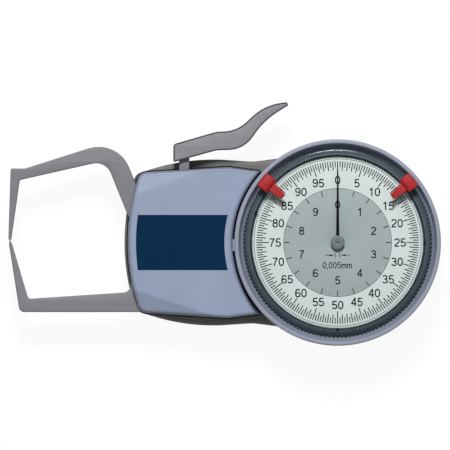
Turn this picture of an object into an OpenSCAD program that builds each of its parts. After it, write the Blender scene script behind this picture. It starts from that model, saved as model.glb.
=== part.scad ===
// Dial caliper gauge with two measuring arms, a finger lever and a turning bezel.
// The gauge lies on its back with the dial facing +Z and the arms pointing to -X.
// The origin is on the dial axis in the plane of the back. Sizes in mm.

/* [Case] */
// outer radius of the collar around the dial
case_r = 31.4; // [30.5:0.1:34]
// distance from the dial axis to the left end of the housing
body_r = 64.9; // [63.8:0.1:66.6]
// half height of the rear housing
body_h = 25.5; // [24.5:0.1:27]
// height of the rear housing from the back to its rim
rim_z = 11; // [10.6:0.1:13]
// thickness of the housing walls
wall = 2; // [1.8:0.1:2.2]
// height of the collar above the rim
collar_h = 11; // [10.8:0.1:12]
// height of the front cover above its gasket
cover_h = 7; // [6.6:0.1:8]

/* [Arms] */
// thickness of the two measuring arms
arm_t = 3.4; // [2.8:0.1:3.6]
// height of the upper arm above the dial axis
arm_top = 31.5; // [30.5:0.1:33]
// depth of the lower arm below the dial axis
arm_low = 21.2; // [20.4:0.1:21.6]
// gap between the closed measuring tips
tip_gap = 0.05; // [0.05:0.01:0.3]
// width of the post that carries the finger lever
post_w = 3.16; // [2.8:0.02:3.6]
// width of the finger lever along the dial axis
lever_w = 6.6; // [6:0.1:8]

/* [Movement] */
// module of the train
gear_m = 0.25; // [0.245:0.001:0.255]
// teeth of the full circle that the sector belongs to
sector_t = 240; // [236:1:244]
// radius of the arm shaft
shaft_r = 2.5; // [2.2:0.05:2.8]
// radius of the train arbors
arbor_r = 0.6; // [0.5:0.02:0.65]

/* [Dial] */
// tooth count of the knurl on the bezel
knurl_n = 144; // [120:2:200]
// angle of each red marker from twelve o'clock
marker_a = 50; // [40:1:60]
// length of the long hand
hand_l = 23; // [20:0.5:23.5]
// length of the short hand
short_l = 10.4; // [9:0.2:11]

/* [Hidden] */
$fn = 64;
// clearance of running fits and of pressed or clamped pieces
run = 0.05;
press = 0.01;
// tooth counts of the pinions and wheels
pin1_t = 16;
pin_t = 12;
wheel_t = 60;
// distance from the dial axis to the first arbor
train_x = case_r - 19.4;
// radii and centres of the train
sector_r = gear_m * sector_t / 2;
pin1_r = gear_m * pin1_t / 2;
mesh_d = gear_m * (wheel_t + pin_t) / 2;
arb1 = [-train_x, 0];
arb2 = [-train_x / 2, sqrt(mesh_d * mesh_d - train_x * train_x / 4)];
take_p = [-arb2[0], -arb2[1]];
pivot = [-(train_x + sector_r - pin1_r), 0];
ratio = sector_t / pin1_t * wheel_t / pin_t * wheel_t / pin_t;
// one turn of the long hand is one millimetre between the tips
tip_r = ratio / (2 * PI);
tip_x = pivot[0] - tip_r;
tip_y = 0.45;
// motion work from the long hand to the short hand, ten to one
can_m = 0.3;
hour_m = 0.21;
tran_t = 30;
hour_t = 48;
tran_p = [0, -can_m * (pin_t + tran_t) / 2];
// heights of the layers
gasket_t = 0.4;
cover_z = rim_z + gasket_t;
cover_top = cover_z + cover_h;
arm_z = cover_z + 0.4;
arm_end = arm_z + arm_t;
roof_z = cover_top - 2;
plate_z = wall + 0.5;
plate_t = 1.5;
bridge_z = rim_z;
bridge_t = 1.4;
gear_z = plate_z + plate_t;
mot_z = bridge_z + bridge_t;
dial_z = mot_z + 6.9;
glass_z = dial_z + 2.5;
seat_z = dial_z + 1.1;
crest_z = dial_z + 2.2;
marker_z = glass_z + 1.4;
collar_z = rim_z + collar_h;
ledge_z = collar_z - 2.3;
// radii of the rings around the dial
cover_r = body_r - 1;
gap_r = case_r + 0.8;
rim_r = case_r - 0.9;
groove_r = case_r - 1.4;
bore_r = case_r - 2.3;
spig_r = case_r - 4.8;
bez_r = case_r - 3.3;
knurl_r = bez_r + 0.6;
lip_r = case_r - 5.45;
cup_r = case_r - 0.5;
plate_r = case_r - 6.4;
bridge_r = case_r - 8;
collar_a = [40, 140, 220, 320];
pillar_a = [45, 135, 225, 315];
plate_a = [90, 210, 330];
pillar_d = bridge_r - 2;
plate_d = plate_r - 2.2;
collar_d = case_r - 4.4;
// round hub of the movable arm, clear of the cover wall beside the dial
cover_w = 1.5;
gap_w = 1.6;
hub_r = -pivot[0] - gap_r - gap_w - 0.4;
// lower edge of the foot of the fixed arm, inside the cover wall
foot_y = body_h - 6.3;
foot_h = 8.7;
// the post under the lever
post_x = pivot[0] - 6.68;
// places of the screws
cover_h_pos = [
  [post_x - post_w / 2 - 4.24, body_h - 7.9],
  [-case_r - 3.8, body_h - 6.5],
  [-case_r - 3.8, 6.5 - body_h],
  [-cover_r + 17.9, 7.5 - body_h]
];
foot_pos = [
  [-cover_r + 6.6, 2.6 - foot_y],
  [-cover_r + 11.3, 2.6 - foot_y],
  [-cover_r + 8.9, 6.6 - foot_y]
];
// stop pin and anchor of the return spring
stop_p = [pivot[0] + 0.1, 15.6];
spring_p = [pivot[0] - 2.5, -9.5];

// corner of a rounded outline, as an arc of n steps
function corner(a, b, c, r, n) = r <= 0 ? [b] :
  let (u = (a - b) / norm(a - b),
       v = (c - b) / norm(c - b),
       h = acos(u * v) / 2,
       m = b + (u + v) / norm(u + v) * r / sin(h),
       s = b + u * r / tan(h) - m,
       e = b + v * r / tan(h) - m,
       d0 = atan2(e[1], e[0]) - atan2(s[1], s[0]),
       d = d0 > 180 ? d0 - 360 : d0 < -180 ? d0 + 360 : d0)
  [for (k = [0 : n]) m + r * [cos(atan2(s[1], s[0]) + d * k / n), sin(atan2(s[1], s[0]) + d * k / n)]];

// outline through corners given as x, y and radius
function rounded(p, n = 6) = [
  for (i = [0 : len(p) - 1])
    let (a = p[(i + len(p) - 1) % len(p)], b = p[i], c = p[(i + 1) % len(p)])
    for (q = corner([a[0], a[1]], [b[0], b[1]], [c[0], c[1]], b[2], n)) q
];

// mirror image below the X axis, in reverse order
function below(p) = [for (i = [len(p) - 1 : -1 : 0]) [p[i][0], -p[i][1], p[i][2]]];

// left end of an outline, an arc about the dial axis
function end_arc(r, a) = [for (k = [-6 : 6]) [-r * cos(a * k / 6), r * sin(a * k / 6), 0]];

// involute angle at radius r on base radius b
function inv(r, b) = r <= b ? 0 : sqrt(r * r / b / b - 1) * 180 / PI - acos(b / r);

// half angle of a tooth at radius r, thinned by the play t on each flank
function half_tooth(m, z, r, t) =
  let (p = m * z / 2, b = p * cos(20))
  90 / z - t / p * 180 / PI + inv(p, b) - inv(r, b);

// outline of a gear with addendum u and dedendum w, in modules
function gear_pts(m, z, u, w, t) =
  let (p = m * z / 2, rad = [p - w * m, p - 0.45 * m, p + 0.3 * m, p + u * m])
  [for (i = [0 : z - 1], k = [0 : 7])
    let (r = rad[k < 4 ? k : 7 - k],
         h = half_tooth(m, z, r, t) * (r < p - m ? 0.86 : 1),
         a = i * 360 / z + (k < 4 ? -h : h))
    r * [cos(a), sin(a)]];

module place(p, z = 0) {
  translate([p[0], p[1], z]) children();
}

module rod(p, r, z0, z1) {
  place(p, z0) cylinder(r = r, h = z1 - z0);
}

module ring(p, r0, r1, z0, z1) {
  place(p, z0) linear_extrude(z1 - z0) difference() {
    circle(r1);
    circle(r0);
  }
}

// screw with a flat head
module screw(p, head, shank, z_head, z_end, up) {
  rod(p, head, up ? z_head : z_head - 0.8, up ? z_head + 0.8 : z_head);
  rod(p, shank, min(z_head, z_end), max(z_head, z_end));
}

module pinion(p, z0, z1, m, t, a) {
  place(p, z0) rotate(a) linear_extrude(z1 - z0) polygon(gear_pts(m, t, 0.9, 1.25, 0.035));
}

// wheel with four crossings and a bore
module wheel(p, z0, z1, m, t, a, bore, hub) {
  rim = m * t / 2 - m * 4;
  place(p, z0) rotate(a) linear_extrude(z1 - z0) difference() {
    polygon(gear_pts(m, t, 0.85, 1.25, 0.035));
    circle(bore);
    difference() {
      circle(rim);
      circle(hub);
      square([2 * rim + 1, rim * 0.22], center = true);
      square([rim * 0.22, 2 * rim + 1], center = true);
    }
  }
}

// outline of the rear housing, drawn in by i
module body2d(i) {
  flank = body_r - case_r - 7.9;
  top = [
    [-body_r + 3.3 + i * 0.9, body_h - 4.65 - i, 3],
    [-body_r + 3.3 + flank * 0.5625, body_h - 0.22 - i, flank * 2.4],
    [-case_r - 4.6, body_h - 0.2 - i, 25],
    [-case_r + 5.8, body_h - 0.88 - i, 14],
    [-case_r + 13.9, body_h - 0.05 - i, 0]
  ];
  polygon(rounded(concat(end_arc(body_r - i, 15), top, below(top))));
}

// outline of the front cover, drawn in by i
module cover2d(i) {
  top = [
    [-cover_r + 3.5 + i * 0.9, body_h - 4.2 - i, 3],
    [-case_r - 1.94, body_h - 2.5 - i, 5],
    [-case_r + 11.4, body_h - 4.3 - i, 0]
  ];
  polygon(rounded(concat(end_arc(cover_r - i, 15), top, below(top))));
}

// domed block that gives the cover and the name plate their top
module dome() {
  r = 190;
  translate([-body_r - 5, 0, cover_top - r]) rotate([0, 90, 0]) cylinder(r = r, h = body_r + 10, $fn = 256);
}

// block above the sloping facet at the upper left corner of the cover
module facet() {
  translate([-cover_r + 3.4, body_h - 10.4, cover_top - 0.6]) rotate([0, 0, 16.85]) rotate([-11.3, 0, 0])
    translate([-30, -10, 0]) cube([60, 30, 10]);
}

module rear_housing() {
  color("#4a4b4d") difference() {
    union() {
      difference() {
        union() {
          translate([0, 0, 1.2]) linear_extrude(rim_z - 1.2) body2d(0);
          translate([0, 0, 0.5]) linear_extrude(0.7) body2d(0.5);
          linear_extrude(0.5) body2d(1.2);
          rotate_extrude($fn = 128) polygon([
            [0, 0], [cup_r - 1.2, 0], [cup_r - 0.35, 0.35], [cup_r, 1.2], [cup_r, rim_z], [0, rim_z]
          ]);
        }
        translate([0, 0, wall]) linear_extrude(rim_z) difference() {
          intersection() {
            body2d(wall);
            cover2d(1.2);
          }
          circle(case_r + 1.6);
        }
        rod([0, 0], cup_r - 2.1, wall, rim_z + 1);
        translate([-case_r - 4, -13.5, wall]) cube([9, 27, 5.2]);
      }
      rod(pivot, shaft_r + 3, 1, gear_z + 0.6);
      for (p = cover_h_pos) rod(p, 2.5, 1, rim_z);
      for (p = foot_pos) rod(p, 2.2, 1, arm_z);
      for (a = collar_a) rod(collar_d * [cos(a), sin(a)], 1.65, 1, rim_z);
      for (a = plate_a) rod(plate_d * [cos(a), sin(a)], 2, 1, plate_z);
    }
    rod(pivot, shaft_r + 1 + press, 1, gear_z + 1);
    for (p = cover_h_pos) {
      rod(p, 1.1, -1, rim_z + 1);
      rod(p, 2, -1, 1.2);
    }
    for (p = foot_pos) rod(p, 0.8 + press, 4, rim_z + 3);
    for (a = collar_a) {
      rod(collar_d * [cos(a), sin(a)], 0.75, -1, rim_z + 1);
      rod(collar_d * [cos(a), sin(a)], 1.5, -1, 1.2);
    }
    for (a = plate_a) rod(plate_d * [cos(a), sin(a)], 0.7 + press, 0.8, plate_z + 1);
    rod(stop_p, 1 + press, 1, wall + 1);
    rod(spring_p, 0.8 + press, 1, wall + 1);
  }
}

module cover_gasket() {
  color("#15171a") translate([0, 0, rim_z]) linear_extrude(gasket_t) difference() {
    cover2d(-0.35);
    circle(gap_r - 0.2);
    difference() {
      cover2d(1.2);
      circle(gap_r + 1.4);
    }
  }
}

module front_cover() {
  low_y = max(arm_low, foot_y) + 0.3;
  low_h = low_y + foot_h + 0.8 - foot_y;
  color("#98a4bc") difference() {
    union() {
      difference() {
        intersection() {
          translate([0, 0, cover_z]) linear_extrude(cover_h) cover2d(0);
          dome();
        }
        rod([0, 0], gap_r, 0, 40);
        for (k = [0, 1]) mirror([0, k, 0]) facet();
        translate([0, 0, cover_z - 1]) linear_extrude(roof_z - cover_z + 1) difference() {
          cover2d(cover_w);
          circle(gap_r + gap_w);
        }
      }
      for (p = cover_h_pos) rod(p, 2.3, rim_z + 0.02, roof_z + 0.5);
      rod(pivot, shaft_r + 2.5, arm_end + 0.4, roof_z + 0.5);
    }
    // the name plate lies in a shallow recess
    translate([0, 0, cover_top - 0.75]) linear_extrude(2) plate2d(0);
    for (p = cover_h_pos) rod(p, 1 + press, rim_z - 1, roof_z + 0.6);
    rod(pivot, shaft_r + 1 + press, arm_end - 1, roof_z + 0.9);
    // ways through the wall for the two arms and for the lever post
    translate([-cover_r - 6.3, 5.6, cover_z - 1]) cube([12.7, 30, arm_end + 1.4 - cover_z]);
    translate([-cover_r - 6.3, -low_y, cover_z - 1]) cube([12, low_h, arm_end + 1.2 - cover_z]);
    translate([post_x - post_w / 2 - 0.5, body_h - 7, cover_z - 1])
      cube([post_w + 5.3, 9, arm_end + 1.4 - cover_z]);
  }
}

module plate2d(i) {
  difference() {
    intersection() {
      circle(cover_r - 2.5 - i, $fn = 128);
      translate([-body_r, -8.45 + i]) square([body_r, 16.9 - 2 * i]);
    }
    circle(case_r + 3 + i, $fn = 128);
  }
}

module name_plate() {
  color("#0b2f4c") intersection() {
    translate([0, 0, cover_top - 0.75]) linear_extrude(2) plate2d(0.05);
    dome();
  }
}

module dial_collar() {
  color("#9aa5ba") difference() {
    rotate_extrude($fn = 128) polygon([
      [spig_r - 2, rim_z], [case_r, rim_z], [case_r, collar_z - 0.4], [case_r - 0.35, collar_z],
      [rim_r, collar_z], [groove_r, collar_z - 0.5], [groove_r - 0.25, ledge_z + 0.1], [bore_r, ledge_z],
      [bore_r, mot_z + 0.8], [spig_r, mot_z + 0.8], [spig_r, dial_z - 3.1], [spig_r, dial_z - 1.7],
      [spig_r - 2, dial_z - 1.7]
    ]);
    rotate_extrude($fn = 128) translate([spig_r - 0.95, mot_z + 2]) square([2, 1]);
    for (a = collar_a) rod(collar_d * [cos(a), sin(a)], 0.7 + press, rim_z - 1, mot_z + 0.4);
  }
}

module bezel_seal() {
  color("#1d1d1f") rotate_extrude($fn = 128) translate([spig_r - 0.46, mot_z + 2.5]) circle(0.45, $fn = 24);
}

module housing_screws() {
  color("#8d9095") for (p = cover_h_pos) screw(p, 1.9, 1, 1.2, roof_z, false);
}

module collar_screws() {
  color("#8d9095") for (a = collar_a) screw(collar_d * [cos(a), sin(a)], 1.4, 0.7, 1.2, mot_z + 0.2, false);
}

module fixed_arm() {
  y = tip_y - tip_gap / 2;
  p = [
    [tip_x - 0.26, y, 0.2], [tip_x + 0.23, y, 0.2], [tip_x + 0.62, -0.61, 0.4],
    [tip_x + 5.53, 4.05 - arm_low, 1], [-cover_r + 0.63, 6.09 - arm_low, 2.4],
    [-cover_r + 1.3, foot_h - foot_y, 0.8], [-cover_r + 13.9, foot_h - foot_y, 1],
    [-cover_r + 13.9, -foot_y, 1], [-cover_r + 4.6, -foot_y, 0.5], [-cover_r + 3.9, -arm_low, 0.3],
    [tip_x + 2.88, -arm_low, 1.7], [tip_x - 0.35, -0.61, 0.4]
  ];
  color("#868589") difference() {
    translate([0, 0, arm_z]) linear_extrude(arm_t) polygon(rounded(p));
    for (q = foot_pos) rod(q, 0.8 + press, arm_z - 1, arm_end + 1);
  }
}

module fixed_arm_screws() {
  color("#8d9095") for (p = foot_pos) screw(p, 1.5, 0.8, arm_end, 5, true);
}

module movement_plate() {
  color("#b9a168") difference() {
    rod([0, 0], plate_r, plate_z, gear_z);
    rod([0, 0], arbor_r + 0.15 + run, 0, gear_z + 1);
    for (p = [arb1, arb2, take_p]) rod(p, arbor_r + run, 0, gear_z + 1);
    for (a = plate_a) rod(plate_d * [cos(a), sin(a)], 0.7 + press, 0, gear_z + 1);
    rod(hair_end(), 0.5 + press, 0, gear_z + 1);
  }
}

module movement_screws() {
  color("#8d9095") for (a = plate_a) screw(plate_d * [cos(a), sin(a)], 1.4, 0.7, gear_z, 1, true);
}

module movement_bridge() {
  color("#c3ac74") difference() {
    rod([0, 0], bridge_r, bridge_z, mot_z);
    rod([0, 0], arbor_r + 0.15 + run, bridge_z - 1, mot_z + 1);
    for (p = [arb1, arb2, take_p]) rod(p, arbor_r + run, bridge_z - 1, mot_z + 1);
    for (a = pillar_a) rod(pillar_d * [cos(a), sin(a)], 0.8 + press, bridge_z - 1, mot_z + 1);
    rod(tran_p, arbor_r + press, bridge_z - 1, mot_z + 1);
  }
}

module pillars() {
  color("#b9a168") for (a = pillar_a) difference() {
    rod(pillar_d * [cos(a), sin(a)], 1.9, gear_z, bridge_z);
    rod(pillar_d * [cos(a), sin(a)], 0.8 + press, bridge_z - 4, bridge_z + 1);
  }
}

module bridge_screws() {
  color("#8d9095") for (a = pillar_a)
    screw(pillar_d * [cos(a), sin(a)], 1.5, 0.8, mot_z, bridge_z - 3.5, true);
}

module rear_arm_bush() {
  color("#b08d4a") ring(pivot, shaft_r + run, shaft_r + 1, 1, gear_z + 0.6);
}

module front_arm_bush() {
  color("#b08d4a") ring(pivot, shaft_r + run, shaft_r + 1, arm_end + 0.4, roof_z + 0.9);
}

module stop_pin() {
  color("#8d9095") rod(stop_p, 1, 1, arm_end);
}

module spring_pin() {
  color("#8d9095") rod(spring_p, 0.8, 1, arm_z - 1);
}

// torsion spring around the sleeve, a round wire along a helix with a straight leg
module return_spring() {
  turns = 4;
  steps = 24 * turns;
  sides = 8;
  wire = 0.3;
  coil = shaft_r + 2.8;
  z0 = gear_z + 3.2;
  rise = (arm_z - 1.4 - z0) / turns;
  path = concat(
    [for (k = [0 : steps]) let (a = 30 + k * 15) [coil * cos(a), coil * sin(a), z0 + rise * k / 24]],
    [for (k = [1 : 4]) let (a = 30 + 360 * turns)
      [coil * cos(a) - k * 1.2 * sin(a) * 0.9, coil * sin(a) + k * 1.2 * cos(a), z0 + rise * turns]]
  );
  pts = [for (k = [0 : len(path) - 1])
    let (a = 30 + min(k, steps) * 15)
    for (j = [0 : sides - 1])
      path[k] + wire * [cos(j * 360 / sides) * cos(a), cos(j * 360 / sides) * sin(a), sin(j * 360 / sides)]];
  faces = concat(
    [[for (j = [0 : sides - 1]) j]],
    [for (k = [0 : len(path) - 2], j = [0 : sides - 1])
      let (n = (j + 1) % sides)
      [k * sides + j, k * sides + sides + j, k * sides + sides + n, k * sides + n]],
    [[for (j = [sides - 1 : -1 : 0]) (len(path) - 1) * sides + j]]
  );
  color("#a9acb0") place(pivot) polyhedron(pts, faces);
}

module transfer_stud() {
  color("#8d9095") union() {
    rod(tran_p, arbor_r, bridge_z + 0.1, mot_z + 4);
    rod(tran_p, arbor_r + 0.5, mot_z + 3.6, mot_z + 4.2);
  }
}

// outer end of the hairspring
function hair_end() = take_p + 5.8 * [cos(-60), sin(-60)];

module hairspring_stud() {
  color("#8d9095") rod(hair_end(), 0.5, plate_z + 0.1, gear_z + 3.6);
}

// flat spiral of four turns and a bit, from the collet to the stud
module hairspring() {
  r0 = arbor_r + 0.75;
  r1 = 5.2;
  n = 24 * 4;
  function at(k, t) = let (a = -60 + k * 15, r = r0 + t + (r1 - r0) * k / n) [r * cos(a), r * sin(a)];
  inner = [for (k = [0 : n]) at(k, 0)];
  outer = [for (k = [n : -1 : 0]) at(k, 0.1)];
  color("#9fb0c8") place(take_p, gear_z + 2.6) linear_extrude(0.8) polygon(concat(inner, outer));
}

module movable_arm() {
  y = tip_y + tip_gap / 2;
  k = arm_top - 31.5;
  p = [
    [tip_x - 0.26, y, 0.2], [tip_x - 0.53, 1.4, 0.5], [tip_x + 0.14, 22.6 + k, 0.7],
    [tip_x + 4.37, 22.5 + k, 0.3], [-cover_r - 2.97, arm_top, 10], [pivot[0] - 19.5, 13.1, 4],
    [post_x - post_w / 2, 8.5, 3], [post_x - post_w / 2, body_h + 1.9, 0.2],
    [post_x + post_w / 2, body_h + 1.9, 0.2], [post_x + post_w / 2, 5.6, 0.3],
    [pivot[0], 5.6, 0], [pivot[0], -5.6, 0], [pivot[0] - 2, -5.6, 1.5],
    [pivot[0] - 23.47, 7.3, 4], [-cover_r - 6.71, 24.9 + k, 4.75], [tip_x + 2.94, 19 + k, 0.45],
    [tip_x + 0.41, 1.37, 0.5], [tip_x + 0.23, y, 0.2]
  ];
  color("#868589") difference() {
    union() {
      translate([0, 0, arm_z]) linear_extrude(arm_t) polygon(rounded(p));
      rod(pivot, hub_r, arm_z, arm_end);
    }
    rod(pivot, shaft_r + press, arm_z - 1, arm_end + 1);
    rod([post_x, body_h + 0.95], 0.5 + press, arm_z - 1, arm_z + 2.4);
  }
}

module arm_shaft() {
  color("#9a9da2") rod(pivot, shaft_r, 1.4, roof_z + 0.6);
}

module shaft_sleeve() {
  color("#a5a7ab") ring(pivot, shaft_r + press, shaft_r + 1.5, gear_z + 2.2, arm_z);
}

module gear_sector() {
  out_r = sector_r + 2.2;
  a0 = -10;
  a1 = 19;
  color("#c3ac74") place(pivot, gear_z + 1) linear_extrude(1.2) difference() {
    union() {
      circle(shaft_r + 2.5);
      intersection() {
        circle(out_r, $fn = 128);
        polygon([[0, 0], 50 * [cos(a0), sin(a0)], 50 * [cos(a1), sin(a1)]]);
      }
    }
    circle(shaft_r + press);
    // window with internal teeth on its outer edge
    difference() {
      intersection() {
        rotate(180 / sector_t) polygon(sector_pts());
        polygon([[0, 0], 50 * [cos(a0 + 3.4), sin(a0 + 3.4)], 50 * [cos(a1 - 3), sin(a1 - 3)]]);
      }
      circle(sector_r - 2 * pin1_r - 2.2, $fn = 96);
    }
    // lightening window
    difference() {
      intersection() {
        circle(sector_r - 2 * pin1_r - 4.2, $fn = 96);
        polygon([[0, 0], 50 * [cos(a0 + 5), sin(a0 + 5)], 50 * [cos(a1 - 5), sin(a1 - 5)]]);
      }
      circle(shaft_r + 6);
    }
  }
}

// fan that cuts the internal teeth, each space a little wider than the mating tooth
function sector_pts() =
  let (rad = [for (u = [-0.85, -0.45, 0.3, 1.2]) sector_r + u * gear_m])
  concat([[0, 0]], [for (i = [-8 : 14], k = [0 : 7])
    let (r = rad[k < 4 ? k : 7 - k],
         h = half_tooth(gear_m, sector_t, r, -0.035),
         a = (i - 0.5) * 360 / sector_t + (k < 4 ? -h : h))
    r * [cos(a), sin(a)]]);

module finger_lever() {
  x = post_x - 3.32;
  y = body_h;
  p = [
    [x, y + 4.43, 1.2], [x + 13.31, y + 8.27, 8], [x + 18.79, y + 8.33, 8], [x + 27.28, y + 16.31, 6],
    [x + 34.5, y + 17.4, 0.45], [x + 34.62, y + 16.5, 0.4], [x + 28.78, y + 12.26, 12],
    [x + 20.34, y + 3, 8], [x + 13.16, y + 2.57, 10], [x, y - 1.1, 0.4]
  ];
  z = arm_z + arm_t / 2;
  color("#939297") difference() {
    translate([0, 0, z - lever_w / 2]) linear_extrude(lever_w) polygon(rounded(p, 8));
    translate([post_x - post_w / 2 - press, y - 3, arm_z - press])
      cube([post_w + 2 * press, 4.92, arm_t + 2 * press]);
    rod([post_x, y + 0.95], 0.5 + press, z - lever_w, arm_z + 1);
    rod([post_x, y + 0.95], 0.95, z - lever_w, z - lever_w / 2 + 0.8);
  }
}

module lever_screws() {
  z = arm_z + arm_t / 2 - lever_w / 2;
  color("#8d9095") screw([post_x, body_h + 0.95], 0.9, 0.5, z + 0.8, arm_z + 2.2, false);
}

module first_arbor() {
  color("#b8babd") union() {
    rod(arb1, arbor_r, plate_z + 0.1, mot_z - 0.1);
    pinion(arb1, gear_z + 0.6, gear_z + 2.9, gear_m, pin1_t, 0);
  }
}

module first_wheel() {
  a = atan2(arb2[1] - arb1[1], arb2[0] - arb1[0]);
  color("#c9a94f") wheel(arb1, gear_z + 3.6, gear_z + 4.4, gear_m, wheel_t, a, arbor_r + press, 2);
}

module second_arbor() {
  a = atan2(arb1[1] - arb2[1], arb1[0] - arb2[0]);
  color("#b8babd") union() {
    rod(arb2, arbor_r, plate_z + 0.1, mot_z - 0.1);
    pinion(arb2, gear_z + 3.2, gear_z + 4.7, gear_m, pin_t, a + 180 / pin_t);
  }
}

module second_wheel() {
  a = atan2(-arb2[1], -arb2[0]);
  color("#c9a94f") wheel(arb2, gear_z + 5.2, gear_z + 6, gear_m, wheel_t, a, arbor_r + press, 2);
}

module centre_arbor() {
  a = atan2(arb2[1], arb2[0]);
  color("#b8babd") union() {
    rod([0, 0], arbor_r + 0.15, plate_z + 0.1, glass_z - 0.5);
    pinion([0, 0], gear_z + 4.9, gear_z + 6.3, gear_m, pin_t, a + 180 / pin_t);
  }
}

module cannon_pinion() {
  color("#c9a94f") difference() {
    pinion([0, 0], mot_z + 0.5, mot_z + 1.7, can_m, pin_t, 90 + 180 / pin_t);
    rod([0, 0], arbor_r + 0.15 + press, mot_z, mot_z + 3);
  }
}

module long_hand() {
  z = dial_z + 1.5;
  color("#141416") difference() {
    union() {
      rod([0, 0], 1.9, z, z + 0.25);
      translate([0, 0, z]) linear_extrude(0.25)
        polygon([[-0.5, 0], [-0.16, hand_l - 0.5], [0, hand_l], [0.16, hand_l - 0.5], [0.5, 0]]);
    }
    rod([0, 0], 1.2 + press, z - 1, z + 1);
  }
}

module hand_boss() {
  z = dial_z + 1.5;
  color("#8b8f94") difference() {
    union() {
      rod([0, 0], 1.2, z - 0.05, z + 0.4);
      rod([0, 0], 2.1, z + 0.26, z + 0.7);
    }
    rod([0, 0], arbor_r + 0.15 + press, z - 1, z + 2);
  }
}

module take_up_arbor() {
  color("#b8babd") union() {
    rod(take_p, arbor_r, plate_z + 0.1, mot_z - 0.1);
    rod(take_p, arbor_r + 0.6, gear_z + 2.4, gear_z + 3.6);
  }
}

module take_up_wheel() {
  a = atan2(-take_p[1], -take_p[0]);
  color("#c9a94f") wheel(take_p, gear_z + 5.2, gear_z + 6, gear_m, wheel_t, a, arbor_r + press, 2);
}

module transfer_pinion() {
  color("#c9a94f") difference() {
    union() {
      pinion(tran_p, mot_z + 2, mot_z + 3.4, hour_m, pin_t, 90);
      rod(tran_p, 0.95, mot_z + 0.5, mot_z + 2);
    }
    rod(tran_p, arbor_r + run, mot_z, mot_z + 5);
  }
}

module transfer_wheel() {
  color("#c9a94f") wheel(tran_p, mot_z + 0.6, mot_z + 1.4, can_m, tran_t, 90, 0.95 + press, 1.9);
}

module short_hand_wheel() {
  color("#c9a94f") union() {
    wheel([0, 0], mot_z + 2.2, mot_z + 3, hour_m, hour_t, -90 + 180 / hour_t, arbor_r + 0.15 + run, 2);
    ring([0, 0], arbor_r + 0.15 + run, 1.3, mot_z + 2.2, dial_z + 1.15);
  }
}

module short_hand() {
  z = dial_z + 0.9;
  color("#141416") difference() {
    union() {
      rod([0, 0], 1.9, z, z + 0.25);
      translate([0, 0, z]) linear_extrude(0.25)
        polygon([[-0.45, 0], [-0.3, short_l - 0.8], [0, short_l], [0.3, short_l - 0.8], [0.45, 0]]);
    }
    rod([0, 0], 1.3 + press, z - 1, z + 1);
  }
}

module bezel_ring() {
  color("#1d2126") union() {
    rotate_extrude($fn = 128) polygon([
      [spig_r + run, mot_z + 1.2], [bez_r, mot_z + 1.2], [bez_r, crest_z - 1], [bez_r - 0.1, crest_z - 0.85],
      [lip_r + 1.1, crest_z], [lip_r + 0.9, crest_z], [lip_r + 0.8, crest_z - 0.15], [lip_r + 0.8, seat_z],
      [lip_r, seat_z], [lip_r, dial_z + 0.65], [lip_r + 0.6, dial_z + 0.65],
      [lip_r + 0.6, dial_z - 0.05], [spig_r - 1.2, dial_z - 0.05], [spig_r - 1.2, dial_z - 1],
      [spig_r + run, dial_z - 1]
    ]);
    translate([0, 0, ledge_z - 0.4]) linear_extrude(crest_z - 0.7 - ledge_z) difference() {
      polygon([for (i = [0 : 2 * knurl_n - 1]) (i % 2 == 0 ? knurl_r : bez_r + 0.08) *
        [cos(i * 180 / knurl_n), sin(i * 180 / knurl_n)]]);
      circle(bez_r - 0.3, $fn = 128);
    }
  }
}

module crystal() {
  color("#dfeaf0", 0.35) rotate_extrude($fn = 128) polygon([
    [0, glass_z], [lip_r + 0.05, glass_z], [lip_r + 0.05, seat_z + 0.05], [lip_r + 0.75, seat_z + 0.05],
    [lip_r + 0.75, glass_z + 0.5], [lip_r + 0.25, glass_z + 1], [0, glass_z + 1]
  ]);
}

module dial_face() {
  color("#d3e0dd") ring([0, 0], 1.75, lip_r + 0.55, dial_z, dial_z + 0.6);
}

// red marker clipped over the bezel, built on the X axis
module marker() {
  h = marker_z;
  color("#c8282d") union() {
    translate([lip_r + 0.15, -2.4, h]) cube([4.05, 4.8, 1.8]);
    translate([lip_r - 0.5, -1.8, h]) cube([1, 3.6, 1.1]);
    translate([lip_r + 1.1, -2.4, crest_z + 0.3]) cube([2.6, 4.8, h - crest_z]);
    translate([knurl_r + 0.1, -2, ledge_z + 1.1]) cube([0.7, 4, h - 0.6 - ledge_z]);
    translate([0, 0, h]) linear_extrude(0.7) polygon([
      [lip_r + 0.5, -1.2], [lip_r + 0.5, 1.2], [lip_r - 4.45, 1], [lip_r - 4.45, -1]
    ]);
  }
}

module left_marker() {
  rotate(90 + marker_a) marker();
}

module right_marker() {
  rotate(90 - marker_a) marker();
}

rear_housing();
cover_gasket();
front_cover();
name_plate();
dial_collar();
bezel_seal();
housing_screws();
collar_screws();
fixed_arm();
fixed_arm_screws();
movement_plate();
movement_screws();
movement_bridge();
pillars();
bridge_screws();
rear_arm_bush();
front_arm_bush();
stop_pin();
spring_pin();
return_spring();
transfer_stud();
hairspring_stud();
hairspring();
movable_arm();
arm_shaft();
shaft_sleeve();
gear_sector();
finger_lever();
lever_screws();
first_arbor();
first_wheel();
second_arbor();
second_wheel();
centre_arbor();
cannon_pinion();
long_hand();
hand_boss();
take_up_arbor();
take_up_wheel();
transfer_pinion();
transfer_wheel();
short_hand_wheel();
short_hand();
bezel_ring();
crystal();
dial_face();
left_marker();
right_marker();
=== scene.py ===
"""Dial caliper gauge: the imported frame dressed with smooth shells, printing and finishes.

The gauge lies on its back with the dial up, and its arms point to -X. Sizes are millimetres, and every mesh is metres.
"""

import math

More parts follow.
